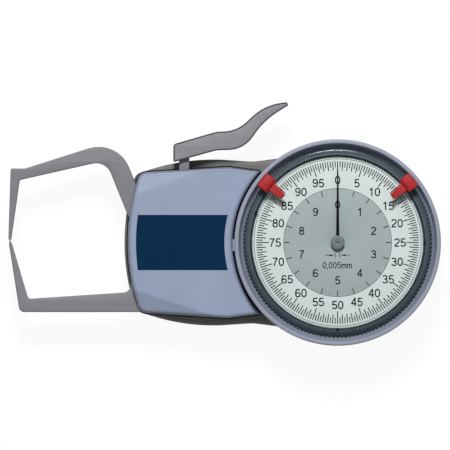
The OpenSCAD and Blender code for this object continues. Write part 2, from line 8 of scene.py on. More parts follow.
import bmesh
import bpy
import numpy as np
from mathutils.geometry import tessellate_polygon
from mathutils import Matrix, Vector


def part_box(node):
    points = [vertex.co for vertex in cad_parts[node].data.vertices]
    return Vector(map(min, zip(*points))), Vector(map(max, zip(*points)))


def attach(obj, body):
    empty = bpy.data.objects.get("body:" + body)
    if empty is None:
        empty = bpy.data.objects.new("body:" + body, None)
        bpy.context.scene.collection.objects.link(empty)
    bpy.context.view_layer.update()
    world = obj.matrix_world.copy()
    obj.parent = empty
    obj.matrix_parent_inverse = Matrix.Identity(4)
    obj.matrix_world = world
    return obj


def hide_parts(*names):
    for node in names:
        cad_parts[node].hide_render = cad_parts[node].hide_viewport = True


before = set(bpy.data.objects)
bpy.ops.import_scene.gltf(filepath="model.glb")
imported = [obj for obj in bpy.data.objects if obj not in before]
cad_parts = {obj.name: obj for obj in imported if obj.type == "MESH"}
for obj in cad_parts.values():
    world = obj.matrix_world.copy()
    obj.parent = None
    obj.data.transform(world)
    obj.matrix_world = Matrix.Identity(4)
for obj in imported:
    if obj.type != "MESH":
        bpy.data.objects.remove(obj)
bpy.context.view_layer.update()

MM = 0.001


def box(name):
    """Lowest and highest corner of a CAD node, in millimetres."""
    low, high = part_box(name)
    return np.array(low) / MM, np.array(high) / MM


# Sizes read from the frame.
CASE_R = box("dial_collar")[1][0]
RIM_Z, COLLAR_Z = box("dial_collar")[0][2], box("dial_collar")[1][2]
BODY_R = -box("rear_housing")[0][0]
COVER_R = -box("front_cover")[0][0]
COVER_Z, COVER_TOP = box("cover_gasket")[1][2], box("front_cover")[1][2]
ARM_Z, ARM_END = box("fixed_arm")[0][2], box("fixed_arm")[1][2]
ARM_LOW = -box("fixed_arm")[0][1]
LEVER_Z, LEVER_END = box("finger_lever")[0][2], box("finger_lever")[1][2]
DIAL_Z, DIAL_TOP = box("dial_face")[0][2], box("dial_face")[1][2]
SEAT_Z, GLASS_TOP = box("crystal")[0][2], box("crystal")[1][2]
BEZEL_LOW, BEZEL_TOP = box("bezel_ring")[0][2], box("bezel_ring")[1][2]
HAND_Z, HAND_TOP = box("long_hand")[0][2], box("long_hand")[1][2]
SHORT_Z, SHORT_TOP = box("short_hand")[0][2], box("short_hand")[1][2]
HAND_LENGTH, SHORT_LENGTH = box("long_hand")[1][1], box("short_hand")[1][1]
BOSS_TOP = box("hand_boss")[1][2]
MARKER_TOP = box("left_marker")[1][2]
PIVOT = (box("arm_shaft")[0][:2] + box("arm_shaft")[1][:2]) / 2

# Sizes worked out from them, and those that the boxes don't give.
BODY_H = 25.5  # from the dial axis to the upper and lower edges of the case
WALL = 2.0  # floor of the housing
ROOF_Z = COVER_TOP - 2.0  # inside of the cover's top
GAP_R = CASE_R + 0.5  # hollow side of the cover
CUP_R = CASE_R - 0.5  # round end of the housing
LIP_R = CASE_R - 5.45  # inner edge of the bezel
BEZEL_R = CASE_R - 3.3  # outer edge of the bezel's face
BEZEL_FACE = BEZEL_TOP - 0.4  # crest of the bezel's face
FACE_EDGE = BEZEL_FACE - 1.15  # height of the face at its outer edge
GLASS_Z = GLASS_TOP - 1.0  # lower side of the crystal
ARM_TOP = 31.5  # bend of the upper arm
ARM_EDGE = 0.42  # rounding along both arms
TIP_EDGE = 0.53  # from the tip to the outer side of the upper arm
TIP_X = box("movable_arm")[0][0] + TIP_EDGE
TIP_Y, TIP_GAP = 0.45, 0.05  # place of the closed tips and the gap between them
POST_W = 3.16  # width of the lever's post
LEVER_HEEL = 3.32  # from the post to the blunt end of the lever
POST_X = box("finger_lever")[0][0] + LEVER_HEEL
SHAFT_R = 2.5
KNURLS = 144
MARKER_ANGLE = 50.0  # from twelve o'clock to each marker
OVERLAP = 0.2  # how far a post runs into the wall that carries it
TURN_STEPS = 256  # points round a large ring
FINE = 0.12  # spacing of points round a small outline


# Outlines


def arc(radius, start, end, count, centre=(0, 0)):
    """Points on a circle from one angle to another, in degrees."""
    a = np.radians(np.linspace(start, end, count))
    return np.column_stack((centre[0] + radius * np.cos(a), centre[1] + radius * np.sin(a)))


def circle(radius, centre=(0, 0), count=48):
    """Closed circle."""
    return arc(radius, 0, 360, count + 1, centre)[:-1]


def rounded(corners, steps=8):
    """Outline through corners given as x, y and radius: each corner becomes the arc that touches both of its sides."""
    c = np.asarray(corners, float)
    parts = []
    for a, p, b in zip(np.roll(c, 1, 0), c, np.roll(c, -1, 0)):
        if p[2] <= 0:
            parts.append(p[None, :2])
            continue
        u, v = a[:2] - p[:2], b[:2] - p[:2]
        u, v = u / np.linalg.norm(u), v / np.linalg.norm(v)
        half = math.acos(np.clip(u @ v, -1, 1)) / 2
        middle = p[:2] + (u + v) / np.linalg.norm(u + v) * p[2] / math.sin(half)
        s, e = (p[:2] + w * p[2] / math.tan(half) - middle for w in (u, v))
        start = math.atan2(s[1], s[0])
        turn = (math.atan2(e[1], e[0]) - start + math.pi) % (2 * math.pi) - math.pi
        parts.append(arc(p[2], math.degrees(start), math.degrees(start + turn), steps + 1, middle))
    return np.vstack(parts)


def even(outline, spacing, ease=0.0):
    """Closed outline resampled at an even spacing, its kinks eased by a moving average over the length given."""
    p = np.vstack((outline, outline[:1]))
    s = np.concatenate(([0], np.cumsum(np.linalg.norm(np.diff(p, axis=0), axis=1))))
    t = np.linspace(0, s[-1], int(round(s[-1] / spacing)), endpoint=False)
    q = np.column_stack([np.interp(t, s, p[:, k]) for k in (0, 1)])
    reach = int(round(ease / spacing))
    weight = np.hanning(2 * reach + 3)[1:-1]
    return sum(w * np.roll(q, k - reach, 0) for k, w in enumerate(weight)) / weight.sum()


def inward(outline):
    """Unit vectors square to a closed outline, pointing into it: the step between neighbours, turned a quarter."""
    step = np.roll(outline, -1, 0) - np.roll(outline, 1, 0)
    step /= np.linalg.norm(step, axis=1)[:, None]
    x, y = outline.T
    side = np.sign(np.sum(x * np.roll(y, -1) - np.roll(x, -1) * y))
    return np.column_stack((-step[:, 1], step[:, 0])) * side


def room(outline, normal):
    """Radius of the largest circle that touches the outline at each point and stays inside it."""
    gap = outline[None] - outline[:, None]
    depth = np.einsum("ijk,ik->ij", gap, normal)
    reach = np.where(depth > 1e-6, np.sum(gap * gap, -1) / (2 * np.maximum(depth, 1e-6)), np.inf)
    return reach.min(1)


def mirrored(corners):
    """Corners below the X axis that match those above it, in reverse order."""
    return [(x, -y, r) for x, y, r in reversed(corners)]


def as_corners(points):
    """Points as sharp corners of an outline."""
    return [(x, y, 0) for x, y in points]


def left_end(radius):
    """Left end of the case, an arc about the dial axis."""
    return as_corners(arc(radius, 195, 165, 13))


def body_outline():
    """Plan of the rear housing: left arc, waved upper and lower edges, and the round cup under the dial."""
    flank = BODY_R - CASE_R - 7.9
    top = [(-BODY_R + 3.3, BODY_H - 4.65, 3), (-BODY_R + 3.3 + 0.5625 * flank, BODY_H - 0.22, 2.4 * flank),
           (-CASE_R - 4.6, BODY_H - 0.2, 25), (-CASE_R + 5.8, BODY_H - 0.88, 14)]
    cup = as_corners(arc(CUP_R, 123.5, -123.5, 121))
    return even(rounded(left_end(BODY_R) + top + cup + mirrored(top)), 0.4, 0.8)


def cover_outline(inset, radius, side=None):
    """Plan of the front cover drawn in by inset: left arc, upper and lower edges, and a side hollowed by a radius.

    side may give other points for the hollow side, from its upper end to its lower end.
    """
    top = [(-COVER_R + 3.5 + 0.9 * inset, BODY_H - 4.2 - inset, 3), (-CASE_R - 1.94, BODY_H - 2.5 - inset, 5)]
    slope = -1.8 / 13.34
    level = top[1][1] - slope * top[1][0]
    x = (-slope * level - math.sqrt((1 + slope ** 2) * radius ** 2 - level ** 2)) / (1 + slope ** 2)
    start = math.degrees(math.atan2(level + slope * x, x))
    hollow = arc(radius, start, 360 - start, 61)
    if side is not None:
        hollow = np.vstack((hollow[:1], side, hollow[-1:]))
    return rounded(left_end(COVER_R - inset) + top + as_corners(hollow) + mirrored(top))


# Meshes: each is an array of points and a list of faces


def grid(rows, columns, wrap_rows=False, wrap_columns=True):
    """Quads between the points of rows. Rows and columns may each close on themselves."""
    r, c = np.meshgrid(np.arange(rows - (not wrap_rows)), np.arange(columns - (not wrap_columns)), indexing="ij")
    r2, c2 = (r + 1) % rows, (c + 1) % columns
    quads = [r * columns + c, r * columns + c2, r2 * columns + c2, r2 * columns + c]
    return np.stack(quads, -1).reshape(-1, 4).tolist()


def joined(*parts):
    """Several meshes as one."""
    starts = np.cumsum([0] + [len(p) for p, _ in parts])
    faces = [[i + s for i in f] for (_, found), s in zip(parts, starts) for f in found]
    return np.vstack([p for p, _ in parts]), faces


def turned(part, angle, centre=(0, 0)):
    """Mesh turned about an axis along Z, in degrees."""
    points, faces = part
    c, s = math.cos(math.radians(angle)), math.sin(math.radians(angle))
    x, y = points[:, 0] - centre[0], points[:, 1] - centre[1]
    return np.column_stack((centre[0] + c * x - s * y, centre[1] + s * x + c * y, points[:, 2])), faces


def sheet(outline, z, holes=()):
    """Flat face inside an outline, with holes left open."""
    flat = np.vstack([outline, *holes])
    found = tessellate_polygon([[(x, y, 0) for x, y in loop] for loop in (outline, *holes)])
    return np.column_stack((flat, np.full(len(flat), z))), [list(f) for f in found]


def swept(outline, profile):
    """Profile of inset and height carried round a closed outline.

    Both may differ from point to point of the outline.
    """
    normal = inward(outline)
    rows = [np.column_stack((outline + normal * np.broadcast_to(i, len(outline))[:, None],
                             np.broadcast_to(z, len(outline)))) for i, z in profile]
    return np.vstack(rows), grid(len(rows), len(outline))


def bend(radius, start, end, inset, height, steps=4):
    """Part of a circle in a profile of inset and height, between two angles in degrees, about a centre."""
    turn = np.radians(np.linspace(start, end, steps + 1))
    return [(inset - radius * math.cos(a), height + radius * math.sin(a)) for a in turn]


def plate(outline, z0, z1, edge, holes=(), pockets=(), depth=0.0):
    """Flat plate: the outline goes up a profile with a quarter circle at both faces, smaller where there is no room.

    Holes go through, and pockets go up from the lower face by depth.
    """
    edge = np.minimum(edge, 0.6 * room(outline, inward(outline)))
    a = np.radians(np.linspace(0, 90, 5))
    profile = [(edge * (1 - s), z0 + edge * (1 - c)) for s, c in zip(np.sin(a), np.cos(a))]
    profile += [(edge * (1 - c), z1 - edge * (1 - s)) for s, c in zip(np.sin(a), np.cos(a))]
    wall, faces = swept(outline, profile)
    low, high = wall[:len(outline), :2], wall[-len(outline):, :2]
    parts = [(wall, faces), sheet(low, z0, (*holes, *pockets)), sheet(high, z1, holes)]
    for loop, end in [(h, z1) for h in holes] + [(p, z0 + depth) for p in pockets]:
        parts.append(swept(loop, [(0, z0), (0, end)]))
    parts += [sheet(p, z0 + depth) for p in pockets]
    return joined(*parts)


def lathe(profile, turns=192, centre=(0, 0), wave=None):
    """Closed profile of radius and height turned about an axis along Z. wave gives a radius to add by angle."""
    r, z = np.asarray(profile, float).T[:, :, None]
    a = np.linspace(0, 2 * math.pi, turns, endpoint=False)[None]
    r = r + (wave(a, r) if wave else 0 * a)
    points = np.stack((centre[0] + r * np.cos(a), centre[1] + r * np.sin(a), z + 0 * a), -1)
    return points.reshape(-1, 3), grid(len(r), turns, wrap_rows=True)


def band(inner, outer, z0, z1, turns=TURN_STEPS, centre=(0, 0)):
    """Ring of square section: its four corners of radius and height, turned about an axis along Z."""
    return lathe([(inner, z0), (outer, z0), (outer, z1), (inner, z1)], turns, centre)


def bars(start, end, width, z0, z1):
    """Thin bars from start points to end points, all of one width, as boxes."""
    start, end = np.atleast_2d(start), np.atleast_2d(end)
    along = (end - start) / np.linalg.norm(end - start, axis=1)[:, None]
    side = np.column_stack((-along[:, 1], along[:, 0])) * width / 2
    ring = np.stack((start - side, end - side, end + side, start + side), 1)
    points = np.concatenate([np.dstack((ring, np.full(ring.shape[:2], z))) for z in (z0, z1)], 1)
    cube = np.array([(3, 2, 1, 0), (4, 5, 6, 7), (0, 1, 5, 4), (1, 2, 6, 5), (2, 3, 7, 6), (3, 0, 4, 7)])
    faces = cube[None] + 8 * np.arange(len(start))[:, None, None]
    return points.reshape(-1, 3), faces.reshape(-1, 4).tolist()


def stroke(path, width, z0, z1, closed=False):
    """Ribbon of one width along a path, as a solid: each point gives a square section across the path."""
    path = np.asarray(path, float)
    step = np.roll(path, -1, 0) - np.roll(path, 1, 0) if closed else np.gradient(path, axis=0)
    side = np.column_stack((-step[:, 1], step[:, 0])) / np.linalg.norm(step, axis=1)[:, None] * width / 2
    square = ((1, z0), (-1, z0), (-1, z1), (1, z1))
    section = [np.column_stack((path + k * side, np.full(len(path), z))) for k, z in square]
    last = 4 * len(path) - 4
    ends = [] if closed else [[3, 2, 1, 0], [last, last + 1, last + 2, last + 3]]
    return np.stack(section, 1).reshape(-1, 3), grid(len(path), 4, closed) + ends


def oval(x, y, rx, ry, start=0, end=360, steps=20):
    """Part of a slightly square oval about a centre, between two angles in degrees."""
    a = np.radians(np.linspace(start, end, steps + 1))
    c, s = np.cos(a), np.sin(a)
    return np.column_stack((x + rx * np.sign(c) * np.abs(c) ** 0.9, y + ry * np.sign(s) * np.abs(s) ** 0.9))


# Figures as strokes in a box one high. A stroke that ends where it starts is closed.
SIX = [oval(0.33, 0.3, 0.255, 0.235), oval(0.345, 0.5, 0.27, 0.435, 205, 38)]
FIGURES = {
    "0": [oval(0.33, 0.5, 0.255, 0.435)],
    "1": [[(0.12, 0.755), (0.2, 0.765), (0.28, 0.8), (0.34, 0.86), (0.375, 0.95)], [(0.395, 0), (0.395, 1)]],
    "2": [np.vstack((oval(0.33, 0.705, 0.245, 0.23, 172, -30),
                     [(0.42, 0.45), (0.27, 0.33), (0.15, 0.2), (0.1, 0.07)])), [(0.035, 0.065), (0.6, 0.065)]],
    "3": [oval(0.32, 0.735, 0.215, 0.2, 165, -85), oval(0.325, 0.295, 0.25, 0.23, 85, -165),
          [(0.24, 0.53), (0.34, 0.53)]],
    "4": [[(0.465, 0), (0.465, 1)], [(0.02, 0.285), (0.63, 0.285)], [(0.44, 0.95), (0.06, 0.29)]],
    "5": [[(0.155, 0.935), (0.585, 0.935)], [(0.165, 0.97), (0.1, 0.47)], oval(0.325, 0.315, 0.26, 0.25, 142, -158)],
    "6": SIX,
    "7": [[(0.03, 0.935), (0.615, 0.935)], [(0.57, 0.9), (0.43, 0.68), (0.32, 0.43), (0.25, 0.2), (0.225, 0)]],
    "8": [oval(0.33, 0.735, 0.22, 0.2), oval(0.33, 0.29, 0.255, 0.225)],
    "9": [(0.66, 1.0) - p for p in SIX],
    ",": [[(0.12, 0.13), (0.12, 0), (0.06, -0.15)]],
    "m": [[(0.07, 0), (0.07, 0.72)], np.vstack((oval(0.25, 0.45, 0.18, 0.21, 180, 0, 8), [(0.43, 0)])),
          np.vstack((oval(0.61, 0.45, 0.18, 0.21, 180, 0, 8), [(0.79, 0)]))],
}
# Steps from one figure to the next, and the space that each step ends with.
WIDTHS = {",": 0.3, "m": 0.93}
WIDTH, SPACE = 0.73, 0.07


def figures(words, height, place, z0, z1, weight, narrow=1.0):
    """Row of figures with its middle at the place given. weight is the width of the strokes for a height of one."""
    start = np.cumsum([0] + [WIDTHS.get(w, WIDTH) for w in words])
    shift = np.array(((start[-1] - SPACE) / 2, 0.5))
    parts = []
    for word, x in zip(words, start):
        for path in FIGURES[word]:
            p = (np.asarray(path, float) + (x, 0) - shift) * (height * narrow, height) + place
            closed = np.allclose(p[0], p[-1])
            parts.append(stroke(p[:-1] if closed else p, weight * height, z0, z1, closed))
    return joined(*parts)


def piece(name, part, material, body, replaces=(), sharp=38, rim=None):
    """Object made of one mesh. Doubles are merged, faces turned outwards, and edges flatter than sharp shaded smooth.

    rim may give each point a number from 0 to 1 that its finish reads: how near the point is to an edge.
    The cover's lacquer paints shade by it.
    """
    points, faces = part
    mesh = bpy.data.meshes.new(name)
    mesh.from_pydata((points * MM).tolist(), [], faces)
    if rim is not None:
        mesh.attributes.new("rim", "FLOAT", "POINT").data.foreach_set("value", rim)
    work = bmesh.new()
    work.from_mesh(mesh)
    bmesh.ops.remove_doubles(work, verts=work.verts, dist=2e-7)
    bmesh.ops.dissolve_degenerate(work, edges=work.edges, dist=1e-7)
    bmesh.ops.recalc_face_normals(work, faces=work.faces)
    work.to_mesh(mesh)
    work.free()
    mesh.polygons.foreach_set("use_smooth", np.ones(len(mesh.polygons), bool))
    mesh.set_sharp_from_angle(angle=math.radians(sharp))
    mesh.materials.append(material)
    made = bpy.data.objects.new(name, mesh)
    bpy.context.scene.collection.objects.link(made)
    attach(made, body)
    if replaces:
        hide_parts(*replaces)
    return made


# Finishes


def colour(code):
    """Linear colour from an sRGB hex value."""
    s = np.array([int(code[i:i + 2], 16) for i in (1, 3, 5)]) / 255
    linear = np.where(s <= 0.04045, s / 12.92, ((s + 0.055) / 1.055) ** 2.4)
    return (*linear.tolist(), 1.0)


def add(tree, kind, sockets=(), **settings):
    """Adds a node. settings are its properties, and sockets its inputs, each a value or another node's output."""
    made = tree.nodes.new(kind)
    for key, value in settings.items():
        setattr(made, key, value)
    for key, value in dict(sockets).items():
        if isinstance(value, bpy.types.NodeSocket):
            tree.links.new(value, made.inputs[key])
        else:
            made.inputs[key].default_value = value
    return made


def finish(name, dark, light, patch, grit, depth, rough, stretch=(1, 1, 1), **sockets):
    """Surface whose colour drifts between two close shades and whose fine grain sets bump and roughness.

    patch and grit are the sizes of the drift and of the grain, and depth the height of the grain, in millimetres.
    stretch lengthens the grain along an axis, as brushing and turning do.
    """
    low, high = 0.3, 0.7  # the noise seldom goes further
    sway = 0.06  # how far the roughness drifts to each side
    made = bpy.data.materials.new(name)
    made.use_nodes = True
    tree = made.node_tree
    shader = tree.nodes["Principled BSDF"]
    for key, value in sockets.items():
        shader.inputs[key.replace("_", " ")].default_value = value
    where = add(tree, "ShaderNodeTexCoord").outputs["Object"]
    drift = add(tree, "ShaderNodeTexNoise", {"Vector": where, "Scale": 1 / (patch * MM), "Detail": 4.0})
    shades = add(tree, "ShaderNodeValToRGB", {"Fac": drift.outputs["Fac"]})
    for stop, place, shade in zip(shades.color_ramp.elements, (low, high), (dark, light)):
        stop.position, stop.color = place, colour(shade)
    pulled = add(tree, "ShaderNodeMapping", {"Vector": where, "Scale": stretch}).outputs["Vector"]
    grain = add(tree, "ShaderNodeTexNoise", {"Vector": pulled, "Scale": 1 / (grit * MM), "Detail": 2.0}).outputs["Fac"]
    bump = add(tree, "ShaderNodeBump", {"Height": grain, "Distance": depth * MM, "Strength": 1.0})
    gloss = add(tree, "ShaderNodeMapRange", {"Value": grain, "From Min": low, "From Max": high,
                                             "To Min": rough - sway, "To Max": rough + sway})
    tree.links.new(shades.outputs["Color"], shader.inputs["Base Color"])
    tree.links.new(bump.outputs["Normal"], shader.inputs["Normal"])
    tree.links.new(gloss.outputs["Result"], shader.inputs["Roughness"])
    return made


# Die-cast aluminium with a dark textured paint: dull, with a fine even grain.
housing_paint = finish("textured_paint_on_cast_aluminium", "#5b5a58", "#666563", 6, 0.35, 0.012, 0.58)
# Smooth blue-grey lacquer: clean and even, with a soft sheen on its round edges.
cover_lacquer_edge_shaded = finish("blue_grey_lacquer_with_painted_edge_shade", "#8a96ac", "#8f9bb2", 9, 0.5, 0.002, 0.45, Specular_IOR_Level=0.35)
# Painted shade: the lacquer is darkened over the round edge and down the skirt,
# by this share at the very edge.
PAINTED_EDGE_SHADE = 0.62
tree = cover_lacquer_edge_shaded.node_tree
# Mix towards a dark navy by the nearness to an edge: painted shade.
painted_edge_shade = add(tree, "ShaderNodeAttribute", attribute_name="rim").outputs["Fac"]
painted_edge_shade = add(tree, "ShaderNodeMath", {0: painted_edge_shade, 1: PAINTED_EDGE_SHADE}, operation="MULTIPLY").outputs[0]
shades = tree.nodes["Principled BSDF"].inputs["Base Color"].links[0].from_socket
edge_shaded_colour = add(tree, "ShaderNodeMix", {0: painted_edge_shade, 6: shades, 7: colour("#1f2632")}, data_type="RGBA")
tree.links.new(edge_shaded_colour.outputs[2], tree.nodes["Principled BSDF"].inputs["Base Color"])
# The same lacquer on the turned collar, a little greyer.
collar_lacquer = finish("grey_lacquer_on_turned_aluminium", "#8d92a2", "#9297a7", 5, 0.3, 0.002, 0.42,
                        Specular_IOR_Level=0.35)
# Darker slate lining of the groove beside the bezel, over the collar's own lacquer: painted shade,
# which goes nearly black where the rim shades it.
groove_shade_lining = finish("slate_lining_painted_shade", "#687380", "#6e7986", 3, 0.2, 0.002, 0.5, Specular_IOR_Level=0.15)
# Nitrile rubber of the gasket and the bezel seal: black and dull.
nitrile = finish("nitrile_rubber", "#0b0c0e", "#131417", 1.5, 0.2, 0.006, 0.7, Specular_IOR_Level=0.15)
# Printed polyester film: a flat navy with a slight orange peel.
navy_film = finish("printed_polyester_film", "#062844", "#092c49", 5, 0.6, 0.002, 0.45, Specular_IOR_Level=0.03)
# Satin chrome over a bead-blasted forging: an even mid grey without sharp reflections.
satin_chrome = finish("satin_chrome_on_steel", "#76757a", "#7c7b80", 4, 0.22, 0.004, 0.55,
                      Metallic=0.1, Specular_IOR_Level=0.25)
# Nickel-plated casting of the finger lever, a little lighter and smoother than the arms.
lever_nickel = finish("satin_nickel_casting", "#818086", "#87868b", 4, 0.22, 0.004, 0.52,
                      Metallic=0.1, Specular_IOR_Level=0.25)
# Painted shade along the lever's edge: a thin darker line round its face.
lever_outline_shade = finish("painted_lever_outline_shade", "#3d3c40", "#454448", 2, 0.2, 0.004, 0.5, Specular_IOR_Level=0.1)
# Bright zinc-plated screws: clean metal with fine turning marks.
zinc_plate = finish("zinc_plated_steel", "#a9acb0", "#b6b9bc", 1.0, 0.08, 0.002, 0.34, Metallic=1.0)
# Blued spring wire: dark and glossy.
spring_wire = finish("blued_spring_steel", "#56606e", "#6a7482", 0.8, 0.1, 0.002, 0.3, Metallic=1.0)
# Ground and hardened arbors: bright steel.
ground_steel = finish("ground_steel", "#b2b4b6", "#bfc1c3", 0.8, 0.06, 0.001, 0.22, Metallic=1.0)
# Brushed brass plates and wheels: warm, with fine straight lines.
brushed_brass = finish("brushed_brass", "#c2a254", "#d1b266", 2, 0.12, 0.003, 0.3, (0.08, 1, 1), Metallic=1.0)
# Black enamel of the hands: even and nearly matt.
hand_enamel = finish("black_enamel", "#060708", "#0b0c0d", 1, 0.1, 0.001, 0.5, Specular_IOR_Level=0.03)
# Turned nickel boss in the middle of the dial.
turned_nickel = finish("turned_nickel", "#626a6b", "#6b7273", 1, 0.1, 0.002, 0.45,
                       Metallic=0.2, Specular_IOR_Level=0.3)
# Dark anodised bezel: a slate grey that turns near black where it faces away from the light.
black_anodising = finish("dark_anodised_aluminium", "#4c575f", "#545e66", 3, 0.25, 0.004, 0.5,
                         Specular_IOR_Level=0.15)
# Knurl of the bezel: the face's anodising painted darker, as painted shade between the teeth,
# so that they read as a dark saw-tooth line.
knurl_shade_dark = finish("anodised_knurl_painted_darker", "#2f353d", "#373d45", 2, 0.2, 0.003, 0.5, Specular_IOR_Level=0.2)
# Bare aluminium on the cut edge of the knurl: a thin line that is bright where it meets the light.
bright_cut = finish("bright_cut_aluminium", "#30363c", "#3e444a", 1.2, 0.1, 0.001, 0.16, Metallic=1.0)
# Matt dial enamel with a green cast, and its grey middle.
dial_enamel = finish("matt_dial_enamel", "#ccd9d6", "#d2dedb", 7, 0.3, 0.001, 0.6)
dial_grey = finish("grey_dial_print", "#9aa5a5", "#9fabab", 7, 0.3, 0.001, 0.6)
# Screen-printed figures: matt dark ink.
dial_ink = finish("screen_print_ink", "#0d1112", "#14191a", 1, 0.2, 0.001, 0.65, Specular_IOR_Level=0.15)
# Moulded ABS of the markers: an even red with a slight gloss.
red_abs = finish("moulded_red_abs", "#a1191e", "#a81d22", 3, 0.3, 0.003, 0.45, Specular_IOR_Level=0.3)
# Acrylic crystal: clear from above, and a gloss that grows as it is seen more from the side.
clear_acrylic = finish("clear_acrylic", "#0a0b0b", "#0e0f0f", 20, 2.0, 0.0005, 0.08, IOR=1.45)
SQUARE_ON, EDGE_ON, RISE = 0.015, 0.6, 4.0  # share of gloss seen square on, what is added edge on, and the power
tree = clear_acrylic.node_tree
facing = add(tree, "ShaderNodeLayerWeight", {"Blend": 0.5}).outputs["Facing"]
gloss = add(tree, "ShaderNodeMath", {0: facing, 1: RISE}, operation="POWER")
gloss = add(tree, "ShaderNodeMath", {0: gloss.outputs[0], 1: EDGE_ON, 2: SQUARE_ON}, operation="MULTIPLY_ADD")
tree.links.new(gloss.outputs[0], tree.nodes["Principled BSDF"].inputs["Alpha"])


# Case


SCREWS = [(POST_X - POST_W / 2 - 4.24, BODY_H - 7.9), (-CASE_R - 3.8, BODY_H - 6.5), (-CASE_R - 3.8, 6.5 - BODY_H),
          (-COVER_R + 17.9, 7.5 - BODY_H)]
COLLAR_SCREWS = arc(CASE_R - 4.4, 40, 400, 37)[[0, 10, 18, 28]]
FEET = [(-COVER_R + 6.6, 8.9 - BODY_H), (-COVER_R + 11.3, 8.9 - BODY_H), (-COVER_R + 8.9, 12.9 - BODY_H)]
PLATE_SCREWS = arc(CASE_R - 8.6, 90, 330, 3)
HEAD_R, COLLAR_HEAD_R, HEAD_PLAY = 1.9, 1.4, 0.1  # heads of the screws in the back, and the play round them
HEAD_Z, HEAD_TOP = 0.4, 1.2  # their lower and upper faces, in recesses of that depth


def rear_housing():
    """Tub with a round lower edge and a flat rim around two wells, one under the cover and one under the dial.

    The wells meet through a window below the rim. Posts for the screws stand in them.
    """
    foot_edge, rim_edge, inset = 1.6, 0.9, 1.2
    outline = body_outline()
    n = len(outline)
    side = bend(foot_edge, -90, 0, foot_edge, foot_edge) + bend(rim_edge, 0, 90, rim_edge, RIM_Z - rim_edge)
    shell = swept(outline, side)
    # Wall of the cup, hollow side of the other well, and half the width and the top of the window.
    r0, r1, half, step = CUP_R - 2.1, CASE_R + 1.6, 13.5, RIM_Z - 3.8
    a0, a1 = (math.degrees(math.asin(half / r)) for r in (r0, r1))
    above, beside, below = (arc(r1, a, b, k) for a, b, k in (
        (145, 180 - a1, 8), (180 - a1, 180 + a1, 25), (180 + a1, 215, 8)))
    round_cup, cup_side = arc(r0, 180 - a0, a0 - 180, 121), arc(r0, 180 + a0, 180 - a0, 25)
    pocket = cover_outline(inset, r1, np.vstack((above, beside[1:-1], below)))
    both = cover_outline(inset, r1, np.vstack((above, round_cup, below)))
    cup = np.vstack((round_cup, cup_side[1:-1]))
    back = [circle(r + HEAD_PLAY, p, 32) for r, places in ((HEAD_R, SCREWS), (COLLAR_HEAD_R, COLLAR_SCREWS))
            for p in places]
    parts = [shell, sheet(shell[0][:n, :2], 0, back), sheet(shell[0][-n:, :2], RIM_Z, (pocket, cup)),
             sheet(both, WALL), sheet(np.vstack((beside, cup_side)), step), swept(both, [(0, WALL), (0, step)])]
    parts += [swept(loop, [(0, step), (0, RIM_Z)]) for loop in (pocket, cup)]
    for loop in back:
        parts += [swept(loop, [(0, 0), (0, HEAD_TOP)]), sheet(loop, HEAD_TOP)]
    # Posts: bore, radius, top and places.
    posts = [(1.1, 2.5, RIM_Z, SCREWS), (0.75, 1.65, RIM_Z, COLLAR_SCREWS), (0.85, 2.2, ARM_Z, FEET),
             (0.75, 2.0, 2.5, PLATE_SCREWS), (SHAFT_R + 1, SHAFT_R + 3, 4.6, [PIVOT])]
    for bore, radius, top, places in posts:
        parts += [band(bore, radius, WALL - OVERLAP, top, 32, p) for p in places]
    return joined(*parts)


def cover_height(x, y):
    """Height of the cover's top: a very wide barrel along X and a sloping facet at each left corner.

    It is the lower of both, blended. A facet falls with the distance past a slanting line.
    """
    barrel_r, blend = 700.0, 0.02
    upper_slope, lower_slope = 0.15, 0.38
    barrel = COVER_TOP - 0.2 - barrel_r + np.sqrt(barrel_r ** 2 - y ** 2)
    past = 0.957 * (np.abs(y) - BODY_H + 10.6) - 0.29 * (x + COVER_R - 3.4)
    facet = COVER_TOP - 0.36 - np.where(y > 0, upper_slope, lower_slope) * past
    return -blend * np.logaddexp(-barrel / blend, -facet / blend)


def distance(points, outline):
    """Distance from each point to the nearest side of a closed outline."""
    side = np.roll(outline, -1, 0) - outline
    gap = points[:, None] - outline[None]
    along = np.sum(gap * side, -1) / np.maximum(np.sum(side * side, -1), 1e-12)
    return np.linalg.norm(gap - np.clip(along, 0, 1)[..., None] * side, axis=-1).min(1)


def polar(outline, hollow):
    """Angle and radius of the outer side of a cover plan, from its upper tip round the left end to its lower tip."""
    a, r = np.arctan2(outline[:, 1], outline[:, 0]) % (2 * math.pi), np.hypot(*outline.T)
    outer = r > hollow + 0.03
    order = np.argsort(a[outer])
    ends = a[~outer].min(), a[~outer].max()
    angle = np.concatenate(([ends[0]], a[outer][order], [ends[1]]))
    return angle, np.concatenate(([hollow], r[outer][order], [hollow]))


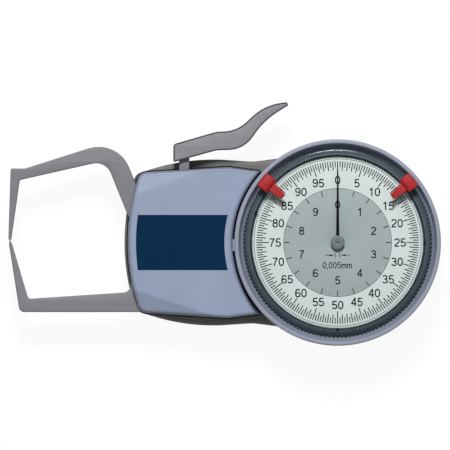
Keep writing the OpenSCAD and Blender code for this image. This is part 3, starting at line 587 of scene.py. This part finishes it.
def front_cover():
    """Domed lid: its top is a surface over angle and radius about the dial axis.

    Near its hollow side and its outer edge it falls by a quarter circle over the distance to the plan. The skirt ends
    higher where the arms pass. With the mesh comes a number from 0 to 1 for each point: how near it is to an edge.
    The lacquer paints shade by it, darker towards the edges.
    """
    edge, shade, wall, spacing = 0.9, 1.5, 1.5, 0.3
    clear = ARM_END + 0.4
    angle, reach = polar(even(cover_outline(0, GAP_R), spacing), GAP_R)
    tilt = 1 / np.sqrt(1 + (np.gradient(reach, angle) / reach) ** 2)
    fall = edge * (1 - np.cos(np.radians(np.linspace(0, 90, 9))))[:, None]
    outer, inner = fall / np.maximum(tilt, 0.35), fall + 0 * tilt
    fit = np.minimum(1, 0.9 * (reach - GAP_R) / (outer[-1] + inner[-1]))
    outer, inner = reach - outer * fit, GAP_R + inner[::-1] * fit
    t = np.linspace(0, 1, 64)[1:-1, None]
    radius = np.vstack((outer, outer[-1] * (1 - t) + inner[0] * t, inner))
    plan = np.stack((radius * np.cos(angle), radius * np.sin(angle)), -1)
    loop = np.vstack((plan[0], plan[-1, ::-1]))
    near = np.array([distance(row, loop) for row in plan])
    near[[0, -1]] = 0
    # Share of painted shade that the lacquer reads, growing towards the edges within the width shade.
    rim = np.clip(1 - near.ravel() / shade, 0, 1) ** 1.5
    near = np.minimum(edge, near)
    z = cover_height(plan[..., 0], plan[..., 1]) - edge + np.sqrt(edge ** 2 - (edge - near) ** 2)
    count = len(angle)
    top = np.dstack((plan, z)).reshape(-1, 3), grid(len(radius), count, wrap_columns=False)

    # The skirt, with its lower edge raised where an arm or the lever's post passes.
    x, y = loop.T
    brow = np.concatenate((z[0], z[-1, ::-1]))
    passing = (x < -COVER_R + 6.4) & (y > 5.6) | (x < -COVER_R + 5.7) & (y < -9.7) & (y > -ARM_LOW - 0.3)
    passing |= (x > POST_X - 2.08) & (x < POST_X + 6.38) & (y > 18.5)
    low = np.where(passing, np.minimum(clear, brow - 0.05), COVER_Z)
    hollow = GAP_R + 1.6
    angle2, reach2 = polar(even(cover_outline(wall, hollow), spacing), hollow)
    a = np.clip(angle, angle2[0], angle2[-1])
    r = np.interp(a, angle2, reach2)
    rows = [np.column_stack((k * np.cos(a), k * np.sin(a))) for k in (r, hollow)]
    inside = np.vstack((rows[0], rows[1][::-1]))
    under = np.full(len(x), ROOF_Z)
    skirt = [np.column_stack(c) for c in ((loop, brow), (loop, low), (inside, low), (inside, under))]
    roof = [np.column_stack((row, np.full(count, ROOF_Z))) for row in rows]
    parts = [top, (np.vstack(skirt), grid(4, len(x))), (np.vstack(roof), grid(2, count, wrap_columns=False))]
    parts += [band(1.02, 2.3, RIM_Z + 0.02, ROOF_Z + OVERLAP, 32, p) for p in SCREWS]
    parts.append(band(SHAFT_R + 1, SHAFT_R + 2.5, clear, ROOF_Z + OVERLAP, 32, PIVOT))
    whole = joined(*parts)
    return whole, np.concatenate((rim, np.ones(len(whole[0]) - len(rim))))


def slab(low, high):
    """Solid between two grids of points, closed round its four edges."""
    n, m = low.shape[:2]
    k = np.arange(n * m).reshape(n, m)
    faces = np.array(grid(n, m, wrap_columns=False))
    rim = np.concatenate((k[0, :-1], k[:-1, -1], k[-1, :0:-1], k[:0:-1, 0]))
    after = np.roll(rim, -1)
    sides = np.column_stack((rim, after, after + n * m, rim + n * m))
    points = np.vstack((low.reshape(-1, 3), high.reshape(-1, 3)))
    return points, np.vstack((faces[:, ::-1], faces + n * m, sides)).tolist()


def name_plate():
    """Thin film on the cover, bounded by two arcs about the dial axis and two straight edges."""
    high, r0, r1 = 8.4, CASE_R + 3.05, COVER_R - 2.55
    film, sunk = 0.06, 0.3
    a0, a1 = (math.degrees(math.asin(high / r)) for r in (r0, r1))
    right, left = (arc(r, 180 - a, 180 + a, 41)[:, None] for r, a in ((r0, a0), (r1, a1)))
    u = np.linspace(0, 1, 33)[None, :, None]
    plan = right * (1 - u) + left * u
    z = cover_height(plan[..., 0], plan[..., 1])
    return slab(np.dstack((plan, z - sunk)), np.dstack((plan, z + film)))


def collar():
    """Turned collar: outer wall and round rim, and the groove inside it, a steep wall and a ledge under the knurl."""
    low = COLLAR_Z - 3.0
    shell = lathe(rounded([
        (CASE_R - 6.8, RIM_Z, 0.2), (CASE_R, RIM_Z, 0.3), (CASE_R, COLLAR_Z, 0.55), (CASE_R - 1.15, COLLAR_Z, 0.15),
        (CASE_R - 1.3, COLLAR_Z - 0.4, 0), (CASE_R - 1.95, low - 0.1, 0), (CASE_R - 2.3, low - 0.2, 0),
        (CASE_R - 2.3, RIM_Z + 2.2, 0), (CASE_R - 4.8, RIM_Z + 2.2, 0), (CASE_R - 4.8, DIAL_Z - 1.7, 0.2),
        (CASE_R - 6.8, DIAL_Z - 1.7, 0.2)], 6), TURN_STEPS)
    # Lining of the groove, darker than the collar's lacquer: painted shade.
    groove = lathe(rounded([
        (CASE_R - 1.25, COLLAR_Z - 0.2, 0.05), (CASE_R - 1.9, low + 0.1, 0.15), (BEZEL_R + 0.12, low - 0.05, 0.05),
        (BEZEL_R + 0.12, low - 0.3, 0), (CASE_R - 1.85, low - 0.25, 0), (CASE_R - 1.22, COLLAR_Z - 0.5, 0)], 4),
        TURN_STEPS)
    return shell, groove


def gasket():
    """Flat seal under the cover that shows as a thin line around it."""
    outline = even(cover_outline(0, GAP_R), 0.3, 0.6)
    width = np.minimum(1.2, room(outline, inward(outline)))
    return swept(outline, [(width, RIM_Z), (width, COVER_Z), (-0.25, COVER_Z), (-0.42, COVER_Z - 0.12),
                           (-0.42, RIM_Z), (width, RIM_Z)])


def screw_heads(places, radius, shank, end):
    """Round heads with a cross recess facing down, and their shanks up to a height."""
    arm, half = radius * 0.62, radius * 0.15
    cross = np.array([(half, -half), (arm, -half), (arm, half), (half, half), (half, arm), (-half, arm), (-half, half),
                      (-arm, half), (-arm, -half), (-half, -half), (-half, -arm), (half, -arm)])
    parts = []
    for place in places:
        parts.append(plate(circle(radius, place, 40), HEAD_Z, HEAD_TOP, 0.2, pockets=[cross + place], depth=0.45))
        parts.append(band(0, shank, HEAD_TOP, end, 20, place))
    return joined(*parts)


piece("housing_shell", rear_housing(), housing_paint, "case", ["rear_housing"])
cover, cover_edge_shade = front_cover()
piece("cover_shell", cover, cover_lacquer_edge_shaded, "case", ["front_cover"], rim=cover_edge_shade)
piece("plate_film", name_plate(), navy_film, "case", ["name_plate"])
collar_shell, collar_groove_shade = collar()
piece("collar_ring", collar_shell, collar_lacquer, "case", ["dial_collar"])
# The groove's lining paints shade over the collar's lacquer.
piece("collar_groove_shade", collar_groove_shade, groove_shade_lining, "case")
key = bars((0.2 - CASE_R, -0.8), (-0.55 - CASE_R, -0.8), 3.6, COLLAR_Z - 5.0, COLLAR_Z - 2.2)
piece("collar_key", key, collar_lacquer, "case")
piece("cover_seal", gasket(), nitrile, "case", ["cover_gasket"])
back_screws = screw_heads(SCREWS, HEAD_R, 1.0, ROOF_Z)
piece("back_screws", back_screws, zinc_plate, "case", ["housing_screws"])
back_screws = screw_heads(COLLAR_SCREWS, COLLAR_HEAD_R, 0.7, RIM_Z + 1.6)
piece("back_collar_screws", back_screws, zinc_plate, "case", ["collar_screws"])


# Arms and lever


def arm_plan(points):
    """Smooth plan of an arm or lever through corners given as x, y and radius."""
    return even(rounded(points), 0.2, 0.2)


def fixed_arm():
    """Lower arm: a tapered blade rising to the tip, and the foot that is screwed down inside the cover."""
    y, foot = TIP_Y - TIP_GAP / 2, BODY_H - 6.3
    plan = arm_plan([
        (TIP_X - 0.26, y, 0.2), (TIP_X + 0.23, y, 0.2), (TIP_X + 0.62, -0.61, 0.4), (TIP_X + 5.53, 4.05 - ARM_LOW, 1),
        (-COVER_R + 0.63, 6.09 - ARM_LOW, 2.4), (-COVER_R + 1.3, 8.7 - foot, 0.8), (-COVER_R + 13.9, 8.7 - foot, 1),
        (-COVER_R + 13.9, -foot, 1), (-COVER_R + 4.6, -foot, 0.5), (-COVER_R + 3.9, -ARM_LOW, 0.3),
        (TIP_X + 2.88, -ARM_LOW, 1.7), (TIP_X - 0.35, -0.61, 0.4)])
    return plate(plan, ARM_Z, ARM_END, ARM_EDGE)


def movable_arm():
    """Upper arm: the blade goes up from the tip, bends down to the hub in the case, and carries the lever's post."""
    y, p, hub = TIP_Y + TIP_GAP / 2, PIVOT[0], 5.6
    left, right, top = POST_X - POST_W / 2, POST_X + POST_W / 2, BODY_H + 1.9
    plan = arm_plan([
        (TIP_X - 0.26, y, 0.2), (TIP_X - TIP_EDGE, 1.4, 0.5), (TIP_X + 0.14, 22.6, 0.7), (TIP_X + 4.37, 22.5, 0.3),
        (-COVER_R - 2.97, ARM_TOP, 10), (p - 19.5, 13.1, 4), (left, 8.5, 3), (left, top, 0.2), (right, top, 0.2),
        (right, hub, 0.3), (p + 3, hub, 2.5), (p + hub, 0, 5), (p + 3, -hub, 2.5), (p - 2, -hub, 1.5),
        (p - 23.47, 7.3, 4), (-COVER_R - 6.71, 24.9, 4.75), (TIP_X + 2.94, 19, 0.45), (TIP_X + 0.41, 1.37, 0.5),
        (TIP_X + 0.23, y, 0.2)])
    return plate(plan, ARM_Z, ARM_END, ARM_EDGE, [circle(SHAFT_R, PIVOT)])


def finger_lever():
    """Cranked lever that sits over the post: one plan carried through the full width.

    A darker ribbon along the plan, set in a little and just above the face, paints shade along the edge.
    """
    x, y = POST_X - LEVER_HEEL, BODY_H
    plan = arm_plan([
        (x, y + 4.43, 1.2), (x + 13.31, y + 8.27, 8), (x + 19.4, y + 8.3, 11), (x + 27.4, y + 16.2, 16),
        (x + 34.5, y + 17.25, 0.3), (x + 35.1, y + 16.3, 0.3), (x + 27.9, y + 11.85, 24), (x + 21.45, y + 2.8, 9),
        (x + 13.16, y + 2.57, 10), (x, y - 1.1, 0.4)])
    screw = circle(0.95, (POST_X, y + 0.95), 24)
    edge = stroke(plan + 0.22 * inward(plan), 0.4, LEVER_END - 0.5, LEVER_END + 0.01, closed=True)
    return plate(plan, LEVER_Z, LEVER_END, 0.5, pockets=[screw], depth=0.8), edge


piece("lower_arm", fixed_arm(), satin_chrome, "case", ["fixed_arm"])
piece("upper_arm", movable_arm(), satin_chrome, "arm", ["movable_arm"])
lever_body, lever_edge = finger_lever()
piece("thumb_lever", lever_body, lever_nickel, "arm", ["finger_lever"])
# Dark ribbon round the lever's face: painted shade along its edge.
piece("thumb_lever_edge", lever_edge, lever_outline_shade, "arm")


# Dial


# Print on the dial: radii of the ticks, lines and figures, and the height of the figures.
TICKS, TICK_R = 200, 24.7
TICK_FROM, SECOND_FROM, TENTH_FROM = 22.87, 21.9, 20.95  # where single, second and tenth ticks begin
INNER_TICKS = 14.6, 16.3
MIDDLE_R, MIDDLE_LINE, EDGE_LINE = 16.44, (16.4, 16.5), (25.36, 25.5)
FIGURE_R, FIGURE_H = 19.0, 2.55
INNER_FIGURE_R, INNER_FIGURE_H = 11.5, 2.45
# The hole in the dial, the hubs of the hands and the boss over them.
DIAL_HOLE, HUB_R, BOSS_R = 1.75, 1.9, 2.1
# Clips that hold the crystal: their angles and radii.
CLIPS = np.radians((0, 160, 270))
CLIP_FROM, CLIP_TO = 26.0, 26.85


def bezel():
    """Turned ring: seats for the dial and the crystal, and a sloping face with a fine groove."""
    top = BEZEL_FACE
    return lathe(rounded([
        (LIP_R + 0.7, BEZEL_LOW, 0.15), (BEZEL_R, BEZEL_LOW, 0.2), (BEZEL_R, FACE_EDGE, 0.03),
        (LIP_R + 1.5, top - 0.34, 0), (LIP_R + 1.48, top - 0.52, 0), (LIP_R + 1.36, top - 0.52, 0),
        (LIP_R + 1.34, top - 0.4, 0), (LIP_R + 0.76, top, 0.04), (LIP_R + 0.66, top - 0.12, 0.03),
        (LIP_R + 0.66, SEAT_Z - 0.02, 0), (LIP_R + 0.2, SEAT_Z - 0.02, 0.03), (LIP_R, DIAL_TOP + 0.2, 0.03),
        (LIP_R, DIAL_TOP + 0.05, 0), (LIP_R + 0.6, DIAL_TOP + 0.05, 0), (LIP_R + 0.6, DIAL_Z - 0.05, 0),
        (LIP_R - 0.55, DIAL_Z - 0.05, 0), (LIP_R - 0.55, DIAL_Z - 1, 0), (LIP_R + 0.7, DIAL_Z - 1, 0)], 5), TURN_STEPS)


def teeth(a, r):
    """Wave of the knurl: one cosine for each tooth, growing from nothing at the band's inner side."""
    depth = 0.24
    return np.clip((r - BEZEL_R + 0.1) / 0.3, 0, 1) * depth * np.cos(KNURLS * a)


def knurl():
    """Band of teeth below the face, from its outer edge to just above the collar's ledge."""
    profile = [(BEZEL_R - 0.1, FACE_EDGE - 0.75), (BEZEL_R + 0.46, FACE_EDGE - 0.63),
               (BEZEL_R + 0.46, FACE_EDGE - 0.45), (BEZEL_R + 0.18, FACE_EDGE - 0.1),
               (BEZEL_R - 0.1, FACE_EDGE - 0.01)]
    return lathe(profile, KNURLS * 8, wave=teeth)


def knurl_edge():
    """Narrow bright ring where the face ends, tilted to catch the light."""
    low, high = FACE_EDGE - 0.02, FACE_EDGE + 0.02
    inner, outer = BEZEL_R - 0.02, BEZEL_R + 0.03
    return lathe([(inner, low), (outer, low), (outer, high - 0.005), (inner, high + 0.009)], TURN_STEPS)


def dial_disc(radius, z0, z1):
    """Thin disc with a hole in its middle and slightly round edges."""
    r = min(0.08, 0.4 * (z1 - z0))
    return lathe(rounded([(DIAL_HOLE, z0, r), (radius, z0, r), (radius, z1, r), (DIAL_HOLE, z1, r)], 3), TURN_STEPS)


def on_dial(radius, count):
    """Places at a radius for equal parts of a turn, clockwise from twelve o'clock."""
    a = 2 * math.pi * np.arange(count) / count
    return np.column_stack((radius * np.sin(a), radius * np.cos(a)))


def dial_marks():
    """Ticks of both scales, figures, and the graduation value below its two arrows. The print lies on two levels."""
    z0, ring_z = DIAL_TOP - 0.02, DIAL_TOP + 0.03
    middle_z = ring_z + 0.02
    level = np.arange(TICKS)
    inner = np.where(level % 10 == 0, TENTH_FROM, np.where(level % 2 == 0, SECOND_FROM, TICK_FROM))
    outside = on_dial(TICK_R, TICKS)
    parts = [bars(outside * (inner / TICK_R)[:, None], outside, 0.29, z0, ring_z)]
    parts.append(bars(*(on_dial(r, 20) for r in INNER_TICKS), 0.25, z0, middle_z))
    for k, place in enumerate(on_dial(FIGURE_R, 20)):
        parts.append(figures(str(5 * k), FIGURE_H, place, z0, ring_z, 0.15))
    for k, place in enumerate(on_dial(INNER_FIGURE_R, 10)):
        parts.append(figures(str(k), INNER_FIGURE_H, place, z0, middle_z, 0.15))
    parts.append(figures("0,005mm", 1.98, (-0.12, -6.9), z0, middle_z, 0.13, 0.9))
    parts.append(band(*MIDDLE_LINE, z0, middle_z))
    for side in (-1, 1):
        line, point, barb, tail = -0.03 + side * np.array([0.62, 1.05, 2.4, 3.8])
        y, half = -3.85, 0.32
        parts.append(bars((line, y + 0.75), (line, y - 0.7), 0.18, z0, middle_z))
        parts.append(bars((point, y), (tail, y), 0.17, z0, middle_z))
        head = np.array([(point, y), (barb, y + half), (barb, y - half)])
        parts.append(joined(swept(head, [(0, z0), (0, middle_z)]), sheet(head, middle_z), sheet(head, z0)))
    return joined(*parts)


def hand(half_base, half_tip, length, z0, z1):
    """Tapered needle with a round hub: the needle's outline leaves the hub's circle."""
    a = math.degrees(math.asin(half_base / HUB_R))
    tip = [(half_tip, length - 0.5), (0, length), (-half_tip, length - 0.5)]
    return plate(even(np.vstack((arc(HUB_R, 90 + a, 450 - a, 49), tip)), FINE), z0, z1, 0.08)


def hub_cap():
    """Turned boss over the hand's hub, with a small hollow in its top."""
    return lathe(rounded([
        (0, HAND_Z, 0), (1.2, HAND_Z, 0), (1.2, HAND_TOP, 0), (BOSS_R, HAND_TOP, 0.1), (BOSS_R, BOSS_TOP, 0.25),
        (0.45, BOSS_TOP + 0.02, 0.1), (0.35, BOSS_TOP - 0.25, 0), (0, BOSS_TOP - 0.25, 0)], 4), 96)


def hub_pin():
    """End of the arbor in that hollow, slightly domed."""
    low = BOSS_TOP - 0.3
    return lathe(rounded([(0, low, 0), (0.3, low, 0), (0.3, BOSS_TOP - 0.1, 0.08), (0, BOSS_TOP - 0.05, 0)], 3), 32)


def crystal_cup():
    """Flat window with a skirt that stands on its seat in the bezel, and a bevel round its top."""
    return lathe(rounded([
        (0, GLASS_Z, 0), (LIP_R + 0.05, GLASS_Z, 0), (LIP_R + 0.05, SEAT_Z, 0), (LIP_R + 0.6, SEAT_Z, 0),
        (LIP_R + 0.6, GLASS_TOP - 0.5, 0.1), (LIP_R + 0.25, GLASS_TOP, 0.1), (0, GLASS_TOP, 0)], 3))


def crystal_seal():
    """Sealing ring in the seat round the crystal, its top sloping inwards. Its black line is partly painted shade."""
    inner, outer, low = LIP_R + 0.34, LIP_R + 0.64, SEAT_Z - 0.1
    return lathe([(inner, low), (outer, low), (outer, SEAT_Z + 0.12), (inner, SEAT_Z)], TURN_STEPS)


def block_plan(x0, x1, half, r):
    """Rectangle with round corners across the X axis."""
    return even(rounded([(x0, -half, r), (x1, -half, r), (x1, half, r), (x0, half, r)]), FINE)


def marker(angle):
    """Red clip on the X axis, then turned: a barrel over the bezel, a hook outside and a tapered pointer."""
    z = MARKER_TOP - 1.8
    x0, x1 = LIP_R + 0.35, LIP_R + 4.1
    section = even(rounded([(x0, z, 0.3), (x1, z, 0.3), (x1, MARKER_TOP, 1.2), (x0, MARKER_TOP, 1.4)]), FINE)
    points, faces = plate(section, -2.35, 2.35, 0.4)
    barrel = points[:, [0, 2, 1]], faces
    upper = [(LIP_R - 4.45, 0.9, 0.3), (LIP_R + 0.2, 1.5, 0.8), (LIP_R + 1.2, 1.9, 0)]
    tongue = even(rounded(mirrored(upper) + upper), FINE)
    foot = block_plan(LIP_R + 1.1, LIP_R + 3.7, 2.4, 0.3)
    hook = block_plan(LIP_R + 2.85, LIP_R + 3.55, 2.0, 0.2)
    parts = [barrel, plate(tongue, z, z + 0.6, 0.3), plate(foot, BEZEL_TOP + 0.3, z + 0.5, 0.15),
             plate(hook, COLLAR_Z - 1.2, z + 0.5, 0.15)]
    return turned(joined(*parts), angle)


piece("bezel_turning", bezel(), black_anodising, "bezel", ["bezel_ring"])
# The knurl's darker finish is painted shade between the teeth.
piece("bezel_knurl", knurl(), knurl_shade_dark, "bezel")
piece("bezel_bright_edge", knurl_edge(), bright_cut, "bezel")
clip = np.column_stack((np.cos(CLIPS), np.sin(CLIPS)))
clip = bars(CLIP_FROM * clip, CLIP_TO * clip, 0.9, SEAT_Z - 0.2, BEZEL_FACE + 0.04)
piece("crystal_clips", clip, nitrile, "bezel")
disc = dial_disc(LIP_R + 0.55, DIAL_Z, DIAL_TOP)
piece("dial_plate", disc, dial_enamel, "bezel", ["dial_face"])
piece("dial_middle", dial_disc(MIDDLE_R, DIAL_TOP - 0.03, DIAL_TOP + 0.02), dial_grey, "bezel")
piece("dial_print", dial_marks(), dial_ink, "bezel")
piece("dial_edge_line", band(*EDGE_LINE, DIAL_TOP - 0.02, DIAL_TOP + 0.02), dial_ink, "bezel")
# A seal round the crystal, whose black line beside the crystal's rim is partly painted shade.
piece("crystal_seal", crystal_seal(), nitrile, "bezel")
piece("crystal_cup", crystal_cup(), clear_acrylic, "bezel", ["crystal"])
long_hand = hand(0.46, 0.17, HAND_LENGTH, HAND_Z, HAND_TOP)
piece("long_needle", long_hand, hand_enamel, "centre", ["long_hand"])
short_hand = hand(0.45, 0.3, SHORT_LENGTH, SHORT_Z, SHORT_TOP)
piece("short_needle", short_hand, hand_enamel, "short", ["short_hand"])
piece("hub_cap", hub_cap(), turned_nickel, "centre", ["hand_boss"])
piece("hub_pin", hub_pin(), hand_enamel, "centre")
piece("marker_clip_left", marker(90 + MARKER_ANGLE), red_abs, "marker_left", ["left_marker"])
piece("marker_clip_right", marker(90 - MARKER_ANGLE), red_abs, "marker_right", ["right_marker"])


# Movement, which keeps its CAD shapes


MOVEMENT = {
    nitrile: ["bezel_seal"],
    zinc_plate: ["fixed_arm_screws", "movement_screws", "bridge_screws", "lever_screws", "stop_pin", "spring_pin",
                 "transfer_stud", "hairspring_stud"],
    spring_wire: ["return_spring", "hairspring"],
    ground_steel: ["arm_shaft", "shaft_sleeve", "first_arbor", "second_arbor", "centre_arbor", "take_up_arbor"],
    brushed_brass: ["movement_plate", "movement_bridge", "pillars", "rear_arm_bush", "front_arm_bush", "gear_sector",
                    "first_wheel", "second_wheel", "cannon_pinion", "take_up_wheel", "transfer_pinion",
                    "transfer_wheel", "short_hand_wheel"],
}
for material, names in MOVEMENT.items():
    for name in names:
        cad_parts[name].data.materials.clear()
        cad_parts[name].data.materials.append(material)


# Studio


VIEW = np.array((-34.26, 5.33, 15.0))  # middle of the picture
EYE_FAR, PICTURE_W = 5000.0, 137.0  # from there to the camera, and the width that the picture takes in
SENSOR = 36.0
FLOOR_HALF, FLOOR_Z = 3000.0, -0.02
KEY_PLACE, KEY_SIZE, KEY_POWER = VIEW + (-40, 1900, 2800), 720, 110.0
FLOOR_GLOW, GLOW = 0.88, 1.06  # share of the floor that glows where it is looked at, and how strongly
ROOM_LIGHT = 0.24  # soft light from all round


def looked_at(tree):
    """Output that is 1 for what the camera sees, in reflections and through glass too, and 0 for other light."""
    path = add(tree, "ShaderNodeLightPath").outputs
    seen = add(tree, "ShaderNodeMath", {0: path["Is Camera Ray"], 1: path["Is Glossy Ray"]}, operation="MAXIMUM")
    seen = add(tree, "ShaderNodeMath", {0: seen.outputs[0], 1: path["Is Transmission Ray"]}, operation="MAXIMUM")
    return seen.outputs[0]


def studio_floor():
    """Large flat square under the gauge."""
    s, z = FLOOR_HALF * MM, FLOOR_Z * MM
    mesh = bpy.data.meshes.new("floor")
    mesh.from_pydata([(-s, -s, z), (s, -s, z), (s, s, z), (-s, s, z)], [], [(0, 1, 2, 3)])
    made = bpy.data.objects.new("floor", mesh)
    bpy.context.scene.collection.objects.link(made)
    return made


# Pale matt paper: the camera and reflections see it nearly white, and a soft shadow stays on it.
paper = bpy.data.materials.new("pale_paper")
paper.use_nodes = True
tree = paper.node_tree
tree.nodes.clear()
share = add(tree, "ShaderNodeMath", {0: looked_at(tree), 1: FLOOR_GLOW}, operation="MULTIPLY")
matt = add(tree, "ShaderNodeBsdfDiffuse", {"Color": colour("#c8c8c8")})
glow = add(tree, "ShaderNodeEmission", {"Color": colour("#ffffff"), "Strength": GLOW})
mixed = add(tree, "ShaderNodeMixShader", {0: share.outputs[0], 1: matt.outputs[0], 2: glow.outputs[0]})
add(tree, "ShaderNodeOutputMaterial", {"Surface": mixed.outputs[0]})
studio_floor().data.materials.append(paper)


def lamp(name, place, target, size, power):
    """Square soft box at a place, facing a target, in millimetres and watts."""
    light = bpy.data.lights.new(name, "AREA")
    light.shape, light.size, light.energy = "SQUARE", size * MM, power
    made = bpy.data.objects.new(name, light)
    made.location = np.array(place) * MM
    away = np.array(place, float) - np.array(target, float)
    pitch = math.atan2(math.hypot(away[0], away[1]), away[2])
    made.rotation_euler = (pitch, 0, math.atan2(away[1], away[0]) + math.pi / 2)
    bpy.context.scene.collection.objects.link(made)


lamp("key", KEY_PLACE, VIEW, KEY_SIZE, KEY_POWER)

# A room of soft even light, which the camera and reflections see as white.
scene = bpy.context.scene
world = bpy.data.worlds.new("studio")
world.use_nodes = True
tree = world.node_tree
tree.nodes.clear()
soft = add(tree, "ShaderNodeBackground", {"Color": colour("#f4f7fb"), "Strength": ROOM_LIGHT})
white = add(tree, "ShaderNodeBackground", {"Color": colour("#ffffff"), "Strength": 1.0})
mixed = add(tree, "ShaderNodeMixShader", {0: looked_at(tree), 1: soft.outputs[0], 2: white.outputs[0]})
add(tree, "ShaderNodeOutputWorld", {"Surface": mixed.outputs[0]})
scene.world = world

camera = bpy.data.cameras.new("camera")
camera.sensor_width, camera.lens = SENSOR, SENSOR * EYE_FAR / PICTURE_W
camera.clip_start, camera.clip_end = 0.01, 20.0
eye = bpy.data.objects.new("camera", camera)
eye.location = (VIEW + (0, 0, EYE_FAR)) * MM
scene.collection.objects.link(eye)
scene.camera = eye
scene.view_settings.view_transform = "Standard"
